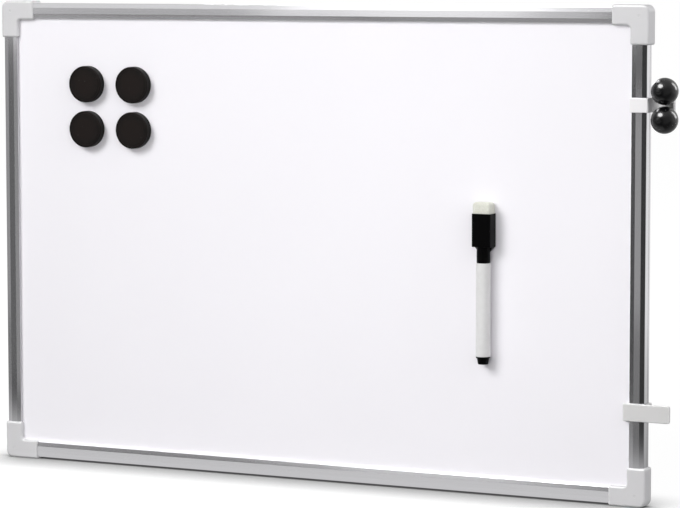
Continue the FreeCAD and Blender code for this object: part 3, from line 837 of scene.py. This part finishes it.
def anticlockwise(pairs):
    """Outline points and radii in the order that runs anticlockwise."""
    points = [p for p, _ in pairs]
    area = sum(a[0] * b[1] - b[0] * a[1] for a, b in zip(points, points[1:] + points[:1]))
    pairs = pairs if area > 0 else list(reversed(pairs))
    return [p for p, _ in pairs], [r for _, r in pairs]


def band_corners(hook_wall, side_corners):
    """Plan of a band that wraps the bar, as (point, radius): return, side, front and hook."""
    hook_in = BAR_WIDTH + SLIDE_GAP
    hook_out = hook_in + hook_wall
    tip = CLIP_FRONT - CLIP_HOOK_DEPTH
    back = BAR_BACK - SLIDE_GAP
    inside = [(hook_out, tip), (hook_in, tip), (hook_in, CLIP_UNDER), (-SLIDE_GAP, CLIP_UNDER),
              (-SLIDE_GAP, back), (CLIP_RETURN, back)]
    return ([((CLIP_RETURN, 0), CLIP_SOFT)] + side_corners
            + [((hook_out, CLIP_FRONT), min(hook_wall, CLIP_CORNER))]
            + [(point, CLIP_SOFT) for point in inside])


def raised_clip(name, corners, low, high, rim):
    return raised(name, *anticlockwise(corners), clip_place, low, high, rim, rim)


def rest_plate():
    """Plate behind the knobs with a shallow pocket that holds the steel keeper."""
    low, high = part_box("upper_clip")
    keeper_low, keeper_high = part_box("keeper_plate")
    centre = ((keeper_low.x + keeper_high.x) / 2, (keeper_low.z + keeper_high.z) / 2)

    def place(a, b, v):
        return Vector((a, -v, b))

    outline = rectangle(REST_PLATE_WIDTH, high.z - low.z, centre)
    plate = raised("rest_plate", outline, [REST_PLATE_WIDTH * PLATE_ROUND_SHARE] * 4, place,
                   REST_PLATE_OFF_WALL, REST_PLATE_THICKNESS, CLIP_SOFT, CLIP_SOFT)
    wide, tall = keeper_high.x - keeper_low.x, keeper_high.z - keeper_low.z
    pocket = rounded(rectangle(wide + FIT_GAP, tall + FIT_GAP, centre), [wide * PLATE_ROUND_SHARE] * 4)
    floor = -keeper_high.y
    cutter = solid("pocket", [[place(a, b, v) for a, b in pocket] for v in (floor, floor + OVERRUN)])
    return combine(plate, [cutter], "DIFFERENCE")


def make_upper_clip():
    keeper_low, keeper_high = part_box("keeper_plate")
    level = (keeper_low.z + keeper_high.z) / 2
    low, high = level - UPPER_CLIP_HEIGHT / 2, level + UPPER_CLIP_HEIGHT / 2
    lug = [((-UPPER_LUG_REACH, 0), CLIP_SOFT), ((-UPPER_LUG_REACH, LUG_THICKNESS), LUG_TIP),
           ((CLIP_SIDE, LUG_THICKNESS), LUG_ROOT), ((CLIP_SIDE, CLIP_FRONT), CLIP_CORNER)]
    clip = raised_clip("upper_clip_moulding", band_corners(UPPER_HOOK_WALL, lug), low, high, UPPER_CLIP_RIM)
    combine(clip, [rest_plate()], "UNION")
    dress(clip, "upper_clip", ["upper_clip"], clip_white)


def round_tab_end(obj, end, level):
    """Cut the tab's last stretch into strips and draw them in towards its middle level, as round corners."""
    bm = bmesh.new()
    bm.from_mesh(obj.data)
    for step in range(TAB_CORNER_STEPS):
        cut = end - TAB_CORNER * (1 - math.sin(math.pi / 2 * step / TAB_CORNER_STEPS))
        bmesh.ops.bisect_plane(bm, geom=bm.verts[:] + bm.edges[:] + bm.faces[:], plane_co=(cut, 0, 0),
                               plane_no=(1, 0, 0))
    for vertex in bm.verts:
        share = (vertex.co.x - (end - TAB_CORNER)) / TAB_CORNER
        if share > 0:
            drop = TAB_CORNER * (1 - math.sqrt(max(1 - share * share, 0)))
            vertex.co.z -= math.copysign(drop, vertex.co.z - level)
    bmesh.ops.dissolve_degenerate(bm, edges=bm.edges, dist=WELD)
    bm.to_mesh(obj.data)
    bm.free()


def make_lower_clip():
    low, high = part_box("lower_clip")
    level = (low.z + high.z) / 2
    reach = high.x - HALF_WIDTH
    tab = [((CLIP_SIDE, 0), CLIP_SOFT), ((CLIP_SIDE, CLIP_UNDER), TAB_ROOT),
           ((-reach, CLIP_UNDER), CLIP_SOFT), ((-reach, CLIP_FRONT), LOWER_CLIP_RIM)]
    clip = raised_clip("lower_clip_moulding", band_corners(LOWER_HOOK_WALL, tab), low.z, high.z,
                       LOWER_CLIP_RIM)
    round_tab_end(clip, high.x, level)
    # The lower clip takes the darker copy of the clip plastic: painted shade
    dress(clip, "lower_clip", ["lower_clip"], clip_painted_shade)


# Knob and disc magnets: turned about an axis that points away from the wall

KNOB_BASE_RADIUS = 8.2 * MM
KNOB_BASE_EDGE = 0.6 * MM
KNOB_WAIST = 9.5 * MM
KNOB_POCKET = (6.1 * MM, 5.1 * MM)
KNOB_GATE_RADIUS = 1.1 * MM
KNOB_GATE_DEPTH = 0.05 * MM
# Shares of the gate mark's radius: end of the dome, rim, inner edge of the floor and raised middle
KNOB_GATE_CLEAR = 1.25
KNOB_GATE_RIM = 1.1
KNOB_GATE_FLOOR = 0.85
KNOB_GATE_MIDDLE = 0.7
FLANK_STEPS = 14
DOME_STEPS = 40
DISC_EDGE = 0.8 * MM
DISC_EDGE_STEPS = 7
DISC_FOOT = 0.3 * MM
DISC_FOOT_STEPS = 3
DISC_RING_RADIUS = 13.9 * MM
DISC_RING_HALF = 0.25 * MM
DISC_RING_DEPTH = 0.25 * MM
DISC_POCKET = (10.1 * MM, 4.1 * MM)


def seat_of(node):
    """Point where a magnet's axis meets its seat, its radius and its height."""
    low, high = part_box(node)
    seat = Vector(((low.x + high.x) / 2, high.y, (low.z + high.z) / 2))
    return seat, (high.x - low.x) / 2, high.y - low.y


def pocket_points(pocket):
    radius, depth = pocket
    return [(0, depth), (radius, depth), (radius, 0)]


def knob_profile(radius, height):
    crown = height - KNOB_WAIST
    edge = KNOB_BASE_EDGE
    profile = pocket_points(KNOB_POCKET) + [(KNOB_BASE_RADIUS - edge, 0)] + foot_round(KNOB_BASE_RADIUS, edge)
    for step in range(1, FLANK_STEPS):
        share = step / FLANK_STEPS
        swell = math.sin(share * math.pi / 2)
        profile.append((KNOB_BASE_RADIUS + (radius - KNOB_BASE_RADIUS) * swell,
                        edge + (KNOB_WAIST - edge) * share))
    gate = KNOB_GATE_RADIUS
    dome = arc_points((0, KNOB_WAIST), (radius, crown), 0, 90, DOME_STEPS)
    profile += [(r, h) for r, h in dome if r > gate * KNOB_GATE_CLEAR]
    top = KNOB_WAIST + crown * math.sqrt(1 - (gate / radius) ** 2)
    floor = top - KNOB_GATE_DEPTH
    return profile + [(gate * KNOB_GATE_RIM, top), (gate, floor), (gate * KNOB_GATE_FLOOR, floor),
                      (gate * KNOB_GATE_MIDDLE, top), (0, top)]


def make_knob(name):
    seat, radius, height = seat_of(name)
    knob = turned(name + "_dome", knob_profile(radius, height), seat, FORWARD)
    dress(knob, name, [name], knob_plastic, crease=50)


def disc_profile(radius, height):
    ring, half, floor = DISC_RING_RADIUS, DISC_RING_HALF, height - DISC_RING_DEPTH
    return (pocket_points(DISC_POCKET) + [(radius - DISC_FOOT, 0)]
            + foot_round(radius, DISC_FOOT, DISC_FOOT_STEPS)
            + top_round(radius, DISC_EDGE, height, DISC_EDGE_STEPS)
            + [(ring + half, height), (ring + half / 2, floor), (ring - half / 2, floor),
               (ring - half, height), (radius / 2, height), (0, height)])


def make_disc(number):
    node = "disc_cover_%d" % number
    seat, radius, height = seat_of(node)
    cover = turned(node + "_shell", disc_profile(radius, height), seat, FORWARD)
    dress(cover, "disc_%d" % number, [node], disc_plastic, crease=50)


# Marker: its axis is upright, in front of the writing sheet

BLOCK_EDGE = 0.8 * MM
BLOCK_RIM = 0.45 * MM
BLOCK_TOP_RIM = 0.15 * MM
BLOCK_BOTTOM = 4.0 * MM
NECK_RADIUS = 5.6 * MM
NECK_RIM = 0.35 * MM
NECK_SUNK = 1.5 * MM
GUSSET_HEIGHT = 4.4 * MM
GUSSET_INSET = 0.25 * MM
GUSSET_SOFT = 0.5 * MM
GUSSET_SOFT_STEPS = 3
GUSSET_WIDTH_SHARE = 0.9
GUSSET_BACK_SHARE = 0.4
CAP_BORE = (4.8 * MM, 27.0 * MM)
FELT_EDGE = 2.4 * MM
FELT_RIM = 3.0 * MM
FELT_FOOT_RIM = 0.2 * MM
FELT_DRAWN_IN = 0.25 * MM
FELT_VOXEL = 0.32 * MM
BARREL_WALL = 1.1 * MM
BARREL_ROUND = 0.5 * MM
BARREL_ROUND_STEPS = 6

BLOCK_LOW, BLOCK_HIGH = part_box("marker_cap")
FELT_LOW, FELT_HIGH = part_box("cap_eraser")
PEN_LOW, PEN_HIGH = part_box("marker_barrel")
MARKER_X = (PEN_LOW.x + PEN_HIGH.x) / 2
MARKER_Y = (PEN_LOW.y + PEN_HIGH.y) / 2
BARREL_RADIUS = (PEN_HIGH.x - PEN_LOW.x) / 2
SPIGOT_RADIUS = BARREL_RADIUS - BARREL_WALL


def marker_plan():
    """Corners of the block's plan, seen from above."""
    return [(BLOCK_LOW.x, BLOCK_LOW.y), (BLOCK_HIGH.x, BLOCK_LOW.y), (BLOCK_HIGH.x, BLOCK_HIGH.y),
            (BLOCK_LOW.x, BLOCK_HIGH.y)]


def upright(a, b, z):
    return Vector((a, b, z))


def marker_axis(level):
    return Vector((MARKER_X, MARKER_Y, level))


def cap_neck():
    length = BLOCK_BOTTOM - BLOCK_LOW.z + NECK_SUNK
    profile = [(0, 0)] + foot_round(NECK_RADIUS, NECK_RIM) + [(NECK_RADIUS, length), (0, length)]
    return turned("neck", profile, marker_axis(BLOCK_LOW.z), UP)


def cap_gusset():
    """Slope between the round neck and the back half of the block."""
    back = BLOCK_HIGH.y - GUSSET_INSET
    foot_back = MARKER_Y + NECK_RADIUS * GUSSET_BACK_SHARE
    top = rectangle(BLOCK_HIGH.x - BLOCK_LOW.x - 2 * GUSSET_INSET, back - MARKER_Y,
                    (MARKER_X, (back + MARKER_Y) / 2))
    foot = rectangle(2 * NECK_RADIUS * GUSSET_WIDTH_SHARE, foot_back - MARKER_Y,
                     (MARKER_X, (foot_back + MARKER_Y) / 2))
    levels = ((foot, BLOCK_BOTTOM - GUSSET_HEIGHT), (top, BLOCK_BOTTOM), (top, BLOCK_BOTTOM + NECK_SUNK))
    soft = [GUSSET_SOFT] * 4
    return solid("gusset", [[upright(a, b, z) for a, b in rounded(shape, soft, GUSSET_SOFT_STEPS)]
                            for shape, z in levels])


def make_marker_cap():
    block = raised("marker_cap_moulding", marker_plan(), [BLOCK_EDGE] * 4, upright, BLOCK_BOTTOM, FELT_LOW.z,
                   BLOCK_RIM, BLOCK_TOP_RIM)
    combine(block, [cap_neck(), cap_gusset()], "UNION")
    bore_radius, bore_depth = CAP_BORE
    bore = turned("bore", [(bore_radius, -OVERRUN), (bore_radius, bore_depth)], marker_axis(BLOCK_LOW.z), UP)
    low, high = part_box("cap_magnet")
    plan = rectangle(high.x - low.x + 2 * FIT_GAP, high.z - low.z + 2 * FIT_GAP,
                     ((low.x + high.x) / 2, (low.z + high.z) / 2))
    pocket = solid("pocket", [[Vector((a, y, b)) for a, b in plan] for y in (low.y, high.y + OVERRUN)])
    combine(block, [bore, pocket], "DIFFERENCE")
    dress(block, "marker_cap", ["marker_cap"], marker_black, crease=40)


# Falloff, step in scale and number of the layers of noise
ROUGH_LAYERS = (0.8, 2.0, 4)


def roughen(obj, scale, depth, seed):
    """Push each point along its normal by noise."""
    offset = Vector((seed, 2 * seed, 3 * seed))
    vertices = obj.data.vertices
    moves = [v.normal * depth * noise.fractal(v.co * scale + offset, *ROUGH_LAYERS) for v in vertices]
    for vertex, move in zip(vertices, moves):
        vertex.co += move


FIBRE_SECTION = (0.0, 2.1, 4.2)
FIBRE_ROWS = 4
FIBRE_TAPER = 0.25
FIBRE_SUNK_RADII = 4
FIBRE_CURL = 0.5
FIBRE_LEAN = 0.8
FIBRE_RISE = (0.2, 0.9)
FIBRE_LENGTHS = (0.4, 1.0)


def loose_fibres(obj, count, length, radius, seed):
    """Short loose fibres that stand on the mesh, as three-sided tapering strands."""
    draw = random.Random(seed)
    polygons = [(p.center.copy(), p.normal.copy()) for p in obj.data.polygons]
    bm = bmesh.new()
    bm.from_mesh(obj.data)
    for _ in range(count):
        spot, normal = draw.choice(polygons)
        lean = Vector([draw.uniform(-1, 1) for _ in range(3)])
        curl = Vector([draw.uniform(-1, 1) for _ in range(3)]) * FIBRE_CURL
        heading = (normal * draw.uniform(*FIBRE_RISE) + lean * FIBRE_LEAN).normalized()
        reach = length * draw.uniform(*FIBRE_LENGTHS)
        spot = spot - normal * radius * FIBRE_SUNK_RADII
        rows = []
        for step in range(FIBRE_ROWS):
            side = heading.orthogonal().normalized()
            other = heading.cross(side)
            size = radius * (1 - FIBRE_TAPER * step)
            rows.append([bm.verts.new(spot + (side * math.cos(a) + other * math.sin(a)) * size)
                         for a in FIBRE_SECTION])
            spot = spot + heading * reach / (FIBRE_ROWS - 1)
            heading = (heading + curl).normalized()
        for low, high in zip(rows, rows[1:]):
            for i in range(len(low)):
                j = (i + 1) % len(low)
                bm.faces.new((low[i], low[j], high[j], high[i]))
        bm.faces.new(list(reversed(rows[0])))
        bm.faces.new(rows[-1])
    bm.to_mesh(obj.data)
    bm.free()


# Scale, depth and seed of the felt's fine and coarse unevenness
FELT_FINE = (1300.0, 0.16 * MM, 3.0)
FELT_COARSE = (350.0, 0.12 * MM, 5.0)
# Count, length, radius and seed of its loose fibres
FELT_LOOSE = (700, 0.9 * MM, 0.022 * MM, 11)


def make_eraser():
    plan = inset(marker_plan(), [FELT_EDGE] * 4, FELT_DRAWN_IN)
    felt = raised("cap_eraser_felt", *plan, upright, FELT_LOW.z, FELT_HIGH.z - FELT_DRAWN_IN, FELT_FOOT_RIM,
                  FELT_RIM)
    even = felt.modifiers.new("even", "REMESH")
    even.mode = "VOXEL"
    even.voxel_size = FELT_VOXEL
    apply_modifiers(felt)
    roughen(felt, *FELT_FINE)
    roughen(felt, *FELT_COARSE)
    loose_fibres(felt, *FELT_LOOSE)
    dress(felt, "marker_cap", ["cap_eraser"], eraser_felt, crease=80)


def make_barrel():
    length, lip, bore = PEN_HIGH.z - PEN_LOW.z, BARREL_ROUND / 2, SPIGOT_RADIUS
    profile = ([(bore, lip), (bore + lip, 0)] + foot_round(BARREL_RADIUS, BARREL_ROUND, BARREL_ROUND_STEPS)
               + top_round(BARREL_RADIUS, BARREL_ROUND, length, BARREL_ROUND_STEPS)
               + [(bore + lip, length), (bore, length - lip)])
    barrel = turned("marker_barrel_tube", profile, marker_axis(PEN_LOW.z), UP, ring=True)
    dress(barrel, "marker_pen", ["marker_barrel"], barrel_plastic, crease=50)


PLUG_FLANGE = 1.2 * MM
PLUG_FLANGE_ROUND = 0.3 * MM
PLUG_SHANK_RADIUS = 5.0 * MM
PLUG_TIP_RADIUS = 4.3 * MM
PLUG_TIP_ROUND = 0.5 * MM
PLUG_TIP_FROM = 5
PLUG_TIP_STEPS = 6
PLUG_DISH = 0.2 * MM
PLUG_DISH_SHARE = 0.6


def make_end_plug():
    low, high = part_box("end_plug")
    flange_radius = (high.x - low.x) / 2
    length = PEN_LOW.z - low.z
    inside = PEN_LOW.z - high.z
    soft, tip = PLUG_FLANGE_ROUND, PLUG_TIP_ROUND
    profile = ([(0, inside), (SPIGOT_RADIUS, inside), (SPIGOT_RADIUS, 0)]
               + foot_round(flange_radius, soft) + top_round(flange_radius, soft, PLUG_FLANGE)
               + [(PLUG_SHANK_RADIUS + soft / 2, PLUG_FLANGE), (PLUG_SHANK_RADIUS, PLUG_FLANGE + soft)]
               + arc_points((PLUG_TIP_RADIUS - tip, length - tip), (tip, tip), PLUG_TIP_FROM, 90,
                            PLUG_TIP_STEPS)
               + [(PLUG_TIP_RADIUS * PLUG_DISH_SHARE, length - PLUG_DISH), (0, length - PLUG_DISH)])
    piece = turned("end_plug_moulding", profile, marker_axis(PEN_LOW.z), -UP)
    dress(piece, "marker_pen", ["end_plug"], marker_black, crease=50)


NOSE_RADIUS = 4.55 * MM
NOSE_TIP_RADIUS = 2.6 * MM
NOSE_CONE = 5.0 * MM
NIB_BORE = 1.9 * MM
GRIP_GROOVE = 0.25 * MM
GRIP_SHARES = (0.35, 0.55, 0.75)


def make_nose():
    low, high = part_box("nib_holder")
    top, bottom, groove = high.z - PEN_HIGH.z, low.z - PEN_HIGH.z, GRIP_GROOVE
    profile = [(NIB_BORE, bottom), (SPIGOT_RADIUS, bottom), (SPIGOT_RADIUS, 0), (NOSE_RADIUS - groove, 0),
               (NOSE_RADIUS, groove)]
    for share in GRIP_SHARES:
        level = (top - NOSE_CONE) * share
        profile += [(NOSE_RADIUS, level - groove), (NOSE_RADIUS - groove, level),
                    (NOSE_RADIUS, level + groove)]
    profile += [(NOSE_RADIUS, top - NOSE_CONE), (NOSE_TIP_RADIUS, top - groove),
                (NOSE_TIP_RADIUS - groove, top), (NIB_BORE, top)]
    nose = turned("nib_holder_moulding", profile, marker_axis(PEN_HIGH.z), UP, ring=True)
    dress(nose, "marker_pen", ["nib_holder"], marker_black, crease=40)


NIB_SEGMENTS = 64
NIB_STEPS = 12


def make_nib():
    low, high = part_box("marker_nib")
    radius, length = (high.x - low.x) / 2, high.z - low.z
    profile = [(0, 0), (radius, 0)] + top_round(radius, radius, length, NIB_STEPS)
    nib = turned("marker_nib_fibre", profile, marker_axis(low.z), UP, NIB_SEGMENTS)
    dress(nib, "marker_pen", ["marker_nib"], nib_fibre, crease=50)


# Making the pieces

for bar_side in SIDES:
    make_bar(bar_side)
for cap_node, signs in (("corner_cap_bottom_left", (-1, -1)), ("corner_cap_top_left", (-1, 1)),
                        ("corner_cap_top_right", (1, 1)), ("corner_cap_bottom_right", (1, -1))):
    make_cap(cap_node, *signs)
make_upper_clip()
make_lower_clip()
for knob_name in ("knob_upper", "knob_lower"):
    make_knob(knob_name)
for disc_number in range(1, 5):
    make_disc(disc_number)
make_marker_cap()
make_eraser()
make_barrel()
make_end_plug()
make_nose()
make_nib()

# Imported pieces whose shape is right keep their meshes
KEPT_FINISHES = {"writing_sheet": sheet_lacquer, "panel_core": core_board, "backing_sheet": zinc_sheet,
                 "keeper_plate": keeper_steel, "ink_reservoir": ink_fibre, "cap_magnet": ferrite,
                 "knob_magnet_upper": ferrite, "knob_magnet_lower": ferrite}
KEPT_FINISHES.update({"disc_magnet_%d" % number: ferrite for number in range(1, 5)})
for kept_node, finish in KEPT_FINISHES.items():
    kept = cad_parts[kept_node]
    kept.data.materials.clear()
    kept.data.materials.append(finish)


# Floor, world and lamps

FLOOR_LEVEL = CAP_LOW.z
FLOOR_HALF = 6.0
# Painted contact shadow in the floor's white glow: reach, samples and power of its ambient occlusion
PAINTED_SHADOW_REACH = 60.0 * MM
PAINTED_SHADOW_SAMPLES = 16
PAINTED_SHADOW_POWER = 1.9
OPEN_FLOOR = 0.93
FLOOR_SEEN_TONE = 0.15
FLOOR_BOUNCE_TONE = 0.20
# Brightness of the floor in reflections, by distance in front of the board and behind it
FLOOR_AHEAD_STOPS = ((0.0, 0.72), (0.10, 0.70), (0.20, 0.46), (0.32, 0.16), (0.50, 0.02))
# Between these distances in front of the board, reflections pass more and more through the floor
FLOOR_SEEN_THROUGH = (0.20, 0.50)
# Places to the right of the board's middle, and the share of the brightness ahead that is left there
FLOOR_RIGHT = (0.32, 0.40, 1.0, 0.25)
FLOOR_BEHIND_STOPS = ((0.0, 0.36), (0.30, 0.46), (0.75, 0.66), (1.2, 0.90))


def ramp_value(tree, factor, stops):
    """Value that runs through (place, value) stops, with places from 0 to 1."""
    node = add_node(tree, "ShaderNodeValToRGB", {"Fac": factor})
    elements = node.color_ramp.elements
    while len(elements) < len(stops):
        elements.new(0.5)
    for element, (place, value) in zip(elements, stops):
        element.position = place
        element.color = grey(value)
    return node.outputs["Color"]


def distance_value(tree, distance, stops):
    reach = stops[-1][0]
    share = rescale(tree, distance, 0.0, reach, 0.0, 1.0)
    return ramp_value(tree, share, [(place / reach, value) for place, value in stops])


def background_rays(tree):
    """Light Path outputs, and 1 for rays that see the white background: from the camera or through glass."""
    path = add_node(tree, "ShaderNodeLightPath").outputs
    return path, calculate(tree, "MAXIMUM", path["Is Camera Ray"], path["Is Transmission Ray"])


def mix_shader(tree, factor, first, second):
    return add_node(tree, "ShaderNodeMixShader", {0: factor, 1: first, 2: second}).outputs[0]


def make_floor():
    """Pale floor: white to the camera, darkened near the board by a painted contact shadow and a real one,
    softly falling off in reflections.
    """
    mesh = bpy.data.meshes.new("floor")
    corners = ((-1, -1), (1, -1), (1, 1), (-1, 1))
    mesh.from_pydata([(x * FLOOR_HALF, y * FLOOR_HALF, FLOOR_LEVEL) for x, y in corners], [], [(0, 1, 2, 3)])
    floor = linked_object("floor", mesh)
    material = bpy.data.materials.new("floor")
    material.use_nodes = True
    tree = material.node_tree
    tree.nodes.clear()
    path, seen = background_rays(tree)
    split = add_node(tree, "ShaderNodeSeparateXYZ", {"Vector": object_place(tree)}).outputs
    backward = split["Y"]
    forward = calculate(tree, "MULTIPLY", backward, -1.0)
    ahead = distance_value(tree, forward, FLOOR_AHEAD_STOPS)
    ahead = calculate(tree, "MULTIPLY", ahead, rescale(tree, split["X"], *FLOOR_RIGHT))
    behind = distance_value(tree, backward, FLOOR_BEHIND_STOPS)
    colour = mix_colour(tree, calculate(tree, "GREATER_THAN", backward, 0.0), ahead, behind)
    glow = add_node(tree, "ShaderNodeEmission", {"Color": colour, "Strength": 1.0}).outputs[0]
    through = rescale(tree, forward, *FLOOR_SEEN_THROUGH, 0.0, 1.0)
    reflected = mix_shader(tree, through, glow, add_node(tree, "ShaderNodeBsdfTransparent").outputs[0])
    # Painted contact shadow: the white glow is darkened by ambient occlusion near the board
    painted_shadow = add_node(tree, "ShaderNodeAmbientOcclusion", {"Distance": PAINTED_SHADOW_REACH},
                       samples=PAINTED_SHADOW_SAMPLES)
    open_share = calculate(tree, "POWER", painted_shadow.outputs["AO"], PAINTED_SHADOW_POWER)
    brightness = calculate(tree, "MULTIPLY", open_share, OPEN_FLOOR)
    white = add_node(tree, "ShaderNodeEmission", {"Strength": brightness}).outputs[0]
    paint = add_node(tree, "ShaderNodeBsdfDiffuse", {"Color": grey(FLOOR_SEEN_TONE)}).outputs[0]
    lit = add_node(tree, "ShaderNodeAddShader", {0: paint, 1: white}).outputs[0]
    plain = add_node(tree, "ShaderNodeBsdfDiffuse", {"Color": grey(FLOOR_BOUNCE_TONE)}).outputs[0]
    mixed = mix_shader(tree, path["Is Glossy Ray"], mix_shader(tree, seen, plain, lit), reflected)
    add_node(tree, "ShaderNodeOutputMaterial", {"Surface": mixed})
    mesh.materials.append(material)


# Brightness of the studio's walls in reflections, by bearing in degrees from the front; right is positive
WALL_STOPS = ((-180, 0.60), (-120, 0.45), (-94, 0.40), (-70, 0.30), (-48, 0.05), (6, 0.04), (24, 0.26),
              (40, 0.32), (60, 0.35), (85, 0.40), (110, 0.80), (150, 0.95), (180, 0.95))
CEILING = 0.72
CEILING_HEIGHTS = (math.radians(25), math.radians(55))
# Colour and strength of the light on matt surfaces; the strength rises towards the right
AMBIENT_COLOUR = (0.985, 0.985, 1.0, 1.0)
AMBIENT_LEVEL = 0.12
AMBIENT_RIGHT = 2.0
AMBIENT_RIGHT_FROM = 0.3
FULL_TURN = 360.0


def background(tree, colour, strength):
    return add_node(tree, "ShaderNodeBackground", {"Color": colour, "Strength": strength}).outputs[0]


def make_world():
    """White to the camera, soft light mostly from the right to matt surfaces, a studio to glossy ones."""
    world = bpy.data.worlds.new("studio")
    bpy.context.scene.world = world
    world.use_nodes = True
    tree = world.node_tree
    tree.nodes.clear()
    path, seen = background_rays(tree)
    direction = add_node(tree, "ShaderNodeTexCoord").outputs["Generated"]
    split = add_node(tree, "ShaderNodeSeparateXYZ", {"Vector": direction}).outputs
    bearing = calculate(tree, "ARCTAN2", split["X"], calculate(tree, "MULTIPLY", split["Y"], -1.0))
    share = rescale(tree, bearing, -math.pi, math.pi, 0.0, 1.0)
    wall = ramp_value(tree, share, [(degrees / FULL_TURN + 0.5, value) for degrees, value in WALL_STOPS])
    height = calculate(tree, "ARCSINE", split["Z"])
    over = rescale(tree, height, *CEILING_HEIGHTS, 0.0, 1.0)
    room = mix_colour(tree, over, wall, grey(CEILING))
    level = rescale(tree, split["X"], AMBIENT_RIGHT_FROM, 1.0, AMBIENT_LEVEL, AMBIENT_RIGHT)
    soft = background(tree, AMBIENT_COLOUR, level)
    shown = mix_shader(tree, seen, soft, background(tree, grey(1.0), 1.0))
    mixed = mix_shader(tree, path["Is Glossy Ray"], shown, background(tree, room, 1.0))
    add_node(tree, "ShaderNodeOutputWorld", {"Surface": mixed})


def add_lamp(name, place, target, size, power, shape="RECTANGLE"):
    """Soft flat lamp that looks at a target and isn't itself in the picture."""
    data = bpy.data.lights.new(name, "AREA")
    data.shape = shape
    data.size, data.size_y = size
    data.energy = power
    lamp = linked_object(name, data)
    lamp.location = place
    lamp.rotation_euler = (Vector(target) - Vector(place)).to_track_quat("-Z", "Y").to_euler()
    lamp.visible_camera = False
    return lamp


# Panels in front of the board that only its glossy pieces see: (left, right, levels, brightness)
PANEL_DISTANCE = 2.5
PANEL_STEP = 0.115
PANEL_LOW = (-0.54, PANEL_STEP)
PANEL_MIDDLE = (-0.36, 0.01)
PANEL_LOWER = (-0.54, -0.36)
PANEL_FOOT = (-1.2, -0.60)
PANEL_FOOT_RIGHT = (-1.2, -0.55)
PANEL_HIGH = (PANEL_STEP, 1.6)
PANELS = {
    "panel_far_left": (-3.90, -2.50, PANEL_LOW, 0.30),
    "panel_left": (-2.30, -1.76, PANEL_LOW, 0.14),
    "panel_bright": (-1.17, -0.74, PANEL_LOW, 0.33),
    "panel_grey": (-0.74, -0.40, PANEL_MIDDLE, 0.37),
    "panel_grey_low": (-0.74, -0.40, PANEL_LOWER, 0.15),
    "panel_foot_far_left": (-3.90, -2.50, PANEL_FOOT, 0.35),
    "panel_foot_left": (-2.30, -1.25, PANEL_FOOT, 0.75),
    "panel_foot": (-1.25, -0.70, PANEL_FOOT, 0.38),
    "panel_foot_right": (-0.70, -0.40, PANEL_FOOT_RIGHT, 0.44),
    "panel_over_left": (-3.30, -1.35, PANEL_HIGH, 0.80),
    "panel_over_bright": (-1.35, -0.85, PANEL_HIGH, 1.45),
    "panel_over_right": (-0.85, -0.68, PANEL_HIGH, 0.75),
}


def lamp_power(size, radiance):
    """Power that gives a rectangular lamp this radiance."""
    return math.pi * size[0] * size[1] * radiance


def add_panel(name, left, right, levels, radiance):
    bottom, top = levels
    middle = Vector(((left + right) / 2, -PANEL_DISTANCE, (bottom + top) / 2))
    size = (right - left, top - bottom)
    lamp = add_lamp(name, middle, middle - FORWARD, size, lamp_power(size, radiance))
    lamp.visible_diffuse = False


SOFTBOX_PLACE = Vector((-1.70, -2.80, 2.20))
SOFTBOX_SIZE = 1.9
SOFTBOX_POWER = 119.0
FRONT_FILL_PLACE = Vector((0.20, -0.70, 0.12))
FRONT_FILL_SIZE = 0.4
FRONT_FILL_POWER = 1.5
KEY_GLINT_PLACE = Vector((-0.30, -1.24, 1.83))
KEY_GLINT_SIZE = (1.7, 1.25)
KEY_GLINT_RADIANCE = 17.0
SIDE_GLINT_PLACE = Vector((1.73, 1.77, 1.15))
SIDE_GLINT_SIZE = (0.6, 1.6)
SIDE_GLINT_RADIANCE = 9.0
BOARD_MIDDLE = Vector((0.0, 0.0, 0.0))
KNOB_SPOT = Vector((0.315, -0.013, 0.11))


def add_lamps():
    for name, place, size, power in (("softbox", SOFTBOX_PLACE, SOFTBOX_SIZE, SOFTBOX_POWER),
                                     ("front_fill", FRONT_FILL_PLACE, FRONT_FILL_SIZE, FRONT_FILL_POWER)):
        add_lamp(name, place, BOARD_MIDDLE, (size, size), power).visible_glossy = False
    for name, size, place, radiance, shape in (
            ("key_glint", KEY_GLINT_SIZE, KEY_GLINT_PLACE, KEY_GLINT_RADIANCE, "ELLIPSE"),
            ("side_glint", SIDE_GLINT_SIZE, SIDE_GLINT_PLACE, SIDE_GLINT_RADIANCE, "RECTANGLE")):
        lamp = add_lamp(name, place, KNOB_SPOT, size, lamp_power(size, radiance), shape)
        lamp.visible_diffuse = False


make_floor()
make_world()
add_lamps()
for panel_name, panel in PANELS.items():
    add_panel(panel_name, *panel)


# Camera at the photograph's viewing angle

FOCAL_PIXELS = 3112.0
PHOTO_WIDTH = 680
SENSOR_WIDTH = 36.0
CAMERA_YAW = 26.18
CAMERA_PITCH = 5.45
CAMERA_ROLL = -0.05
CAMERA_DISTANCE = 2.6199
CAMERA_TARGET = Vector((0.0221, 0.0, -0.0090))


def make_camera():
    data = bpy.data.cameras.new("camera")
    data.sensor_width = SENSOR_WIDTH
    data.lens = FOCAL_PIXELS / PHOTO_WIDTH * SENSOR_WIDTH
    yaw, pitch, roll = (math.radians(a) for a in (CAMERA_YAW, CAMERA_PITCH, CAMERA_ROLL))
    back = Vector((math.sin(yaw) * math.cos(pitch), -math.cos(yaw) * math.cos(pitch), math.sin(pitch)))
    right = Vector((math.cos(yaw), math.sin(yaw), 0))
    up = back.cross(right)
    right, up = (right * math.cos(roll) + up * math.sin(roll), up * math.cos(roll) - right * math.sin(roll))
    camera = linked_object("camera", data)
    turn = Matrix((right, up, back)).transposed().to_4x4()
    camera.matrix_world = Matrix.Translation(CAMERA_TARGET + back * CAMERA_DISTANCE) @ turn
    bpy.context.scene.camera = camera


make_camera()
bpy.context.scene.view_settings.view_transform = "Standard"
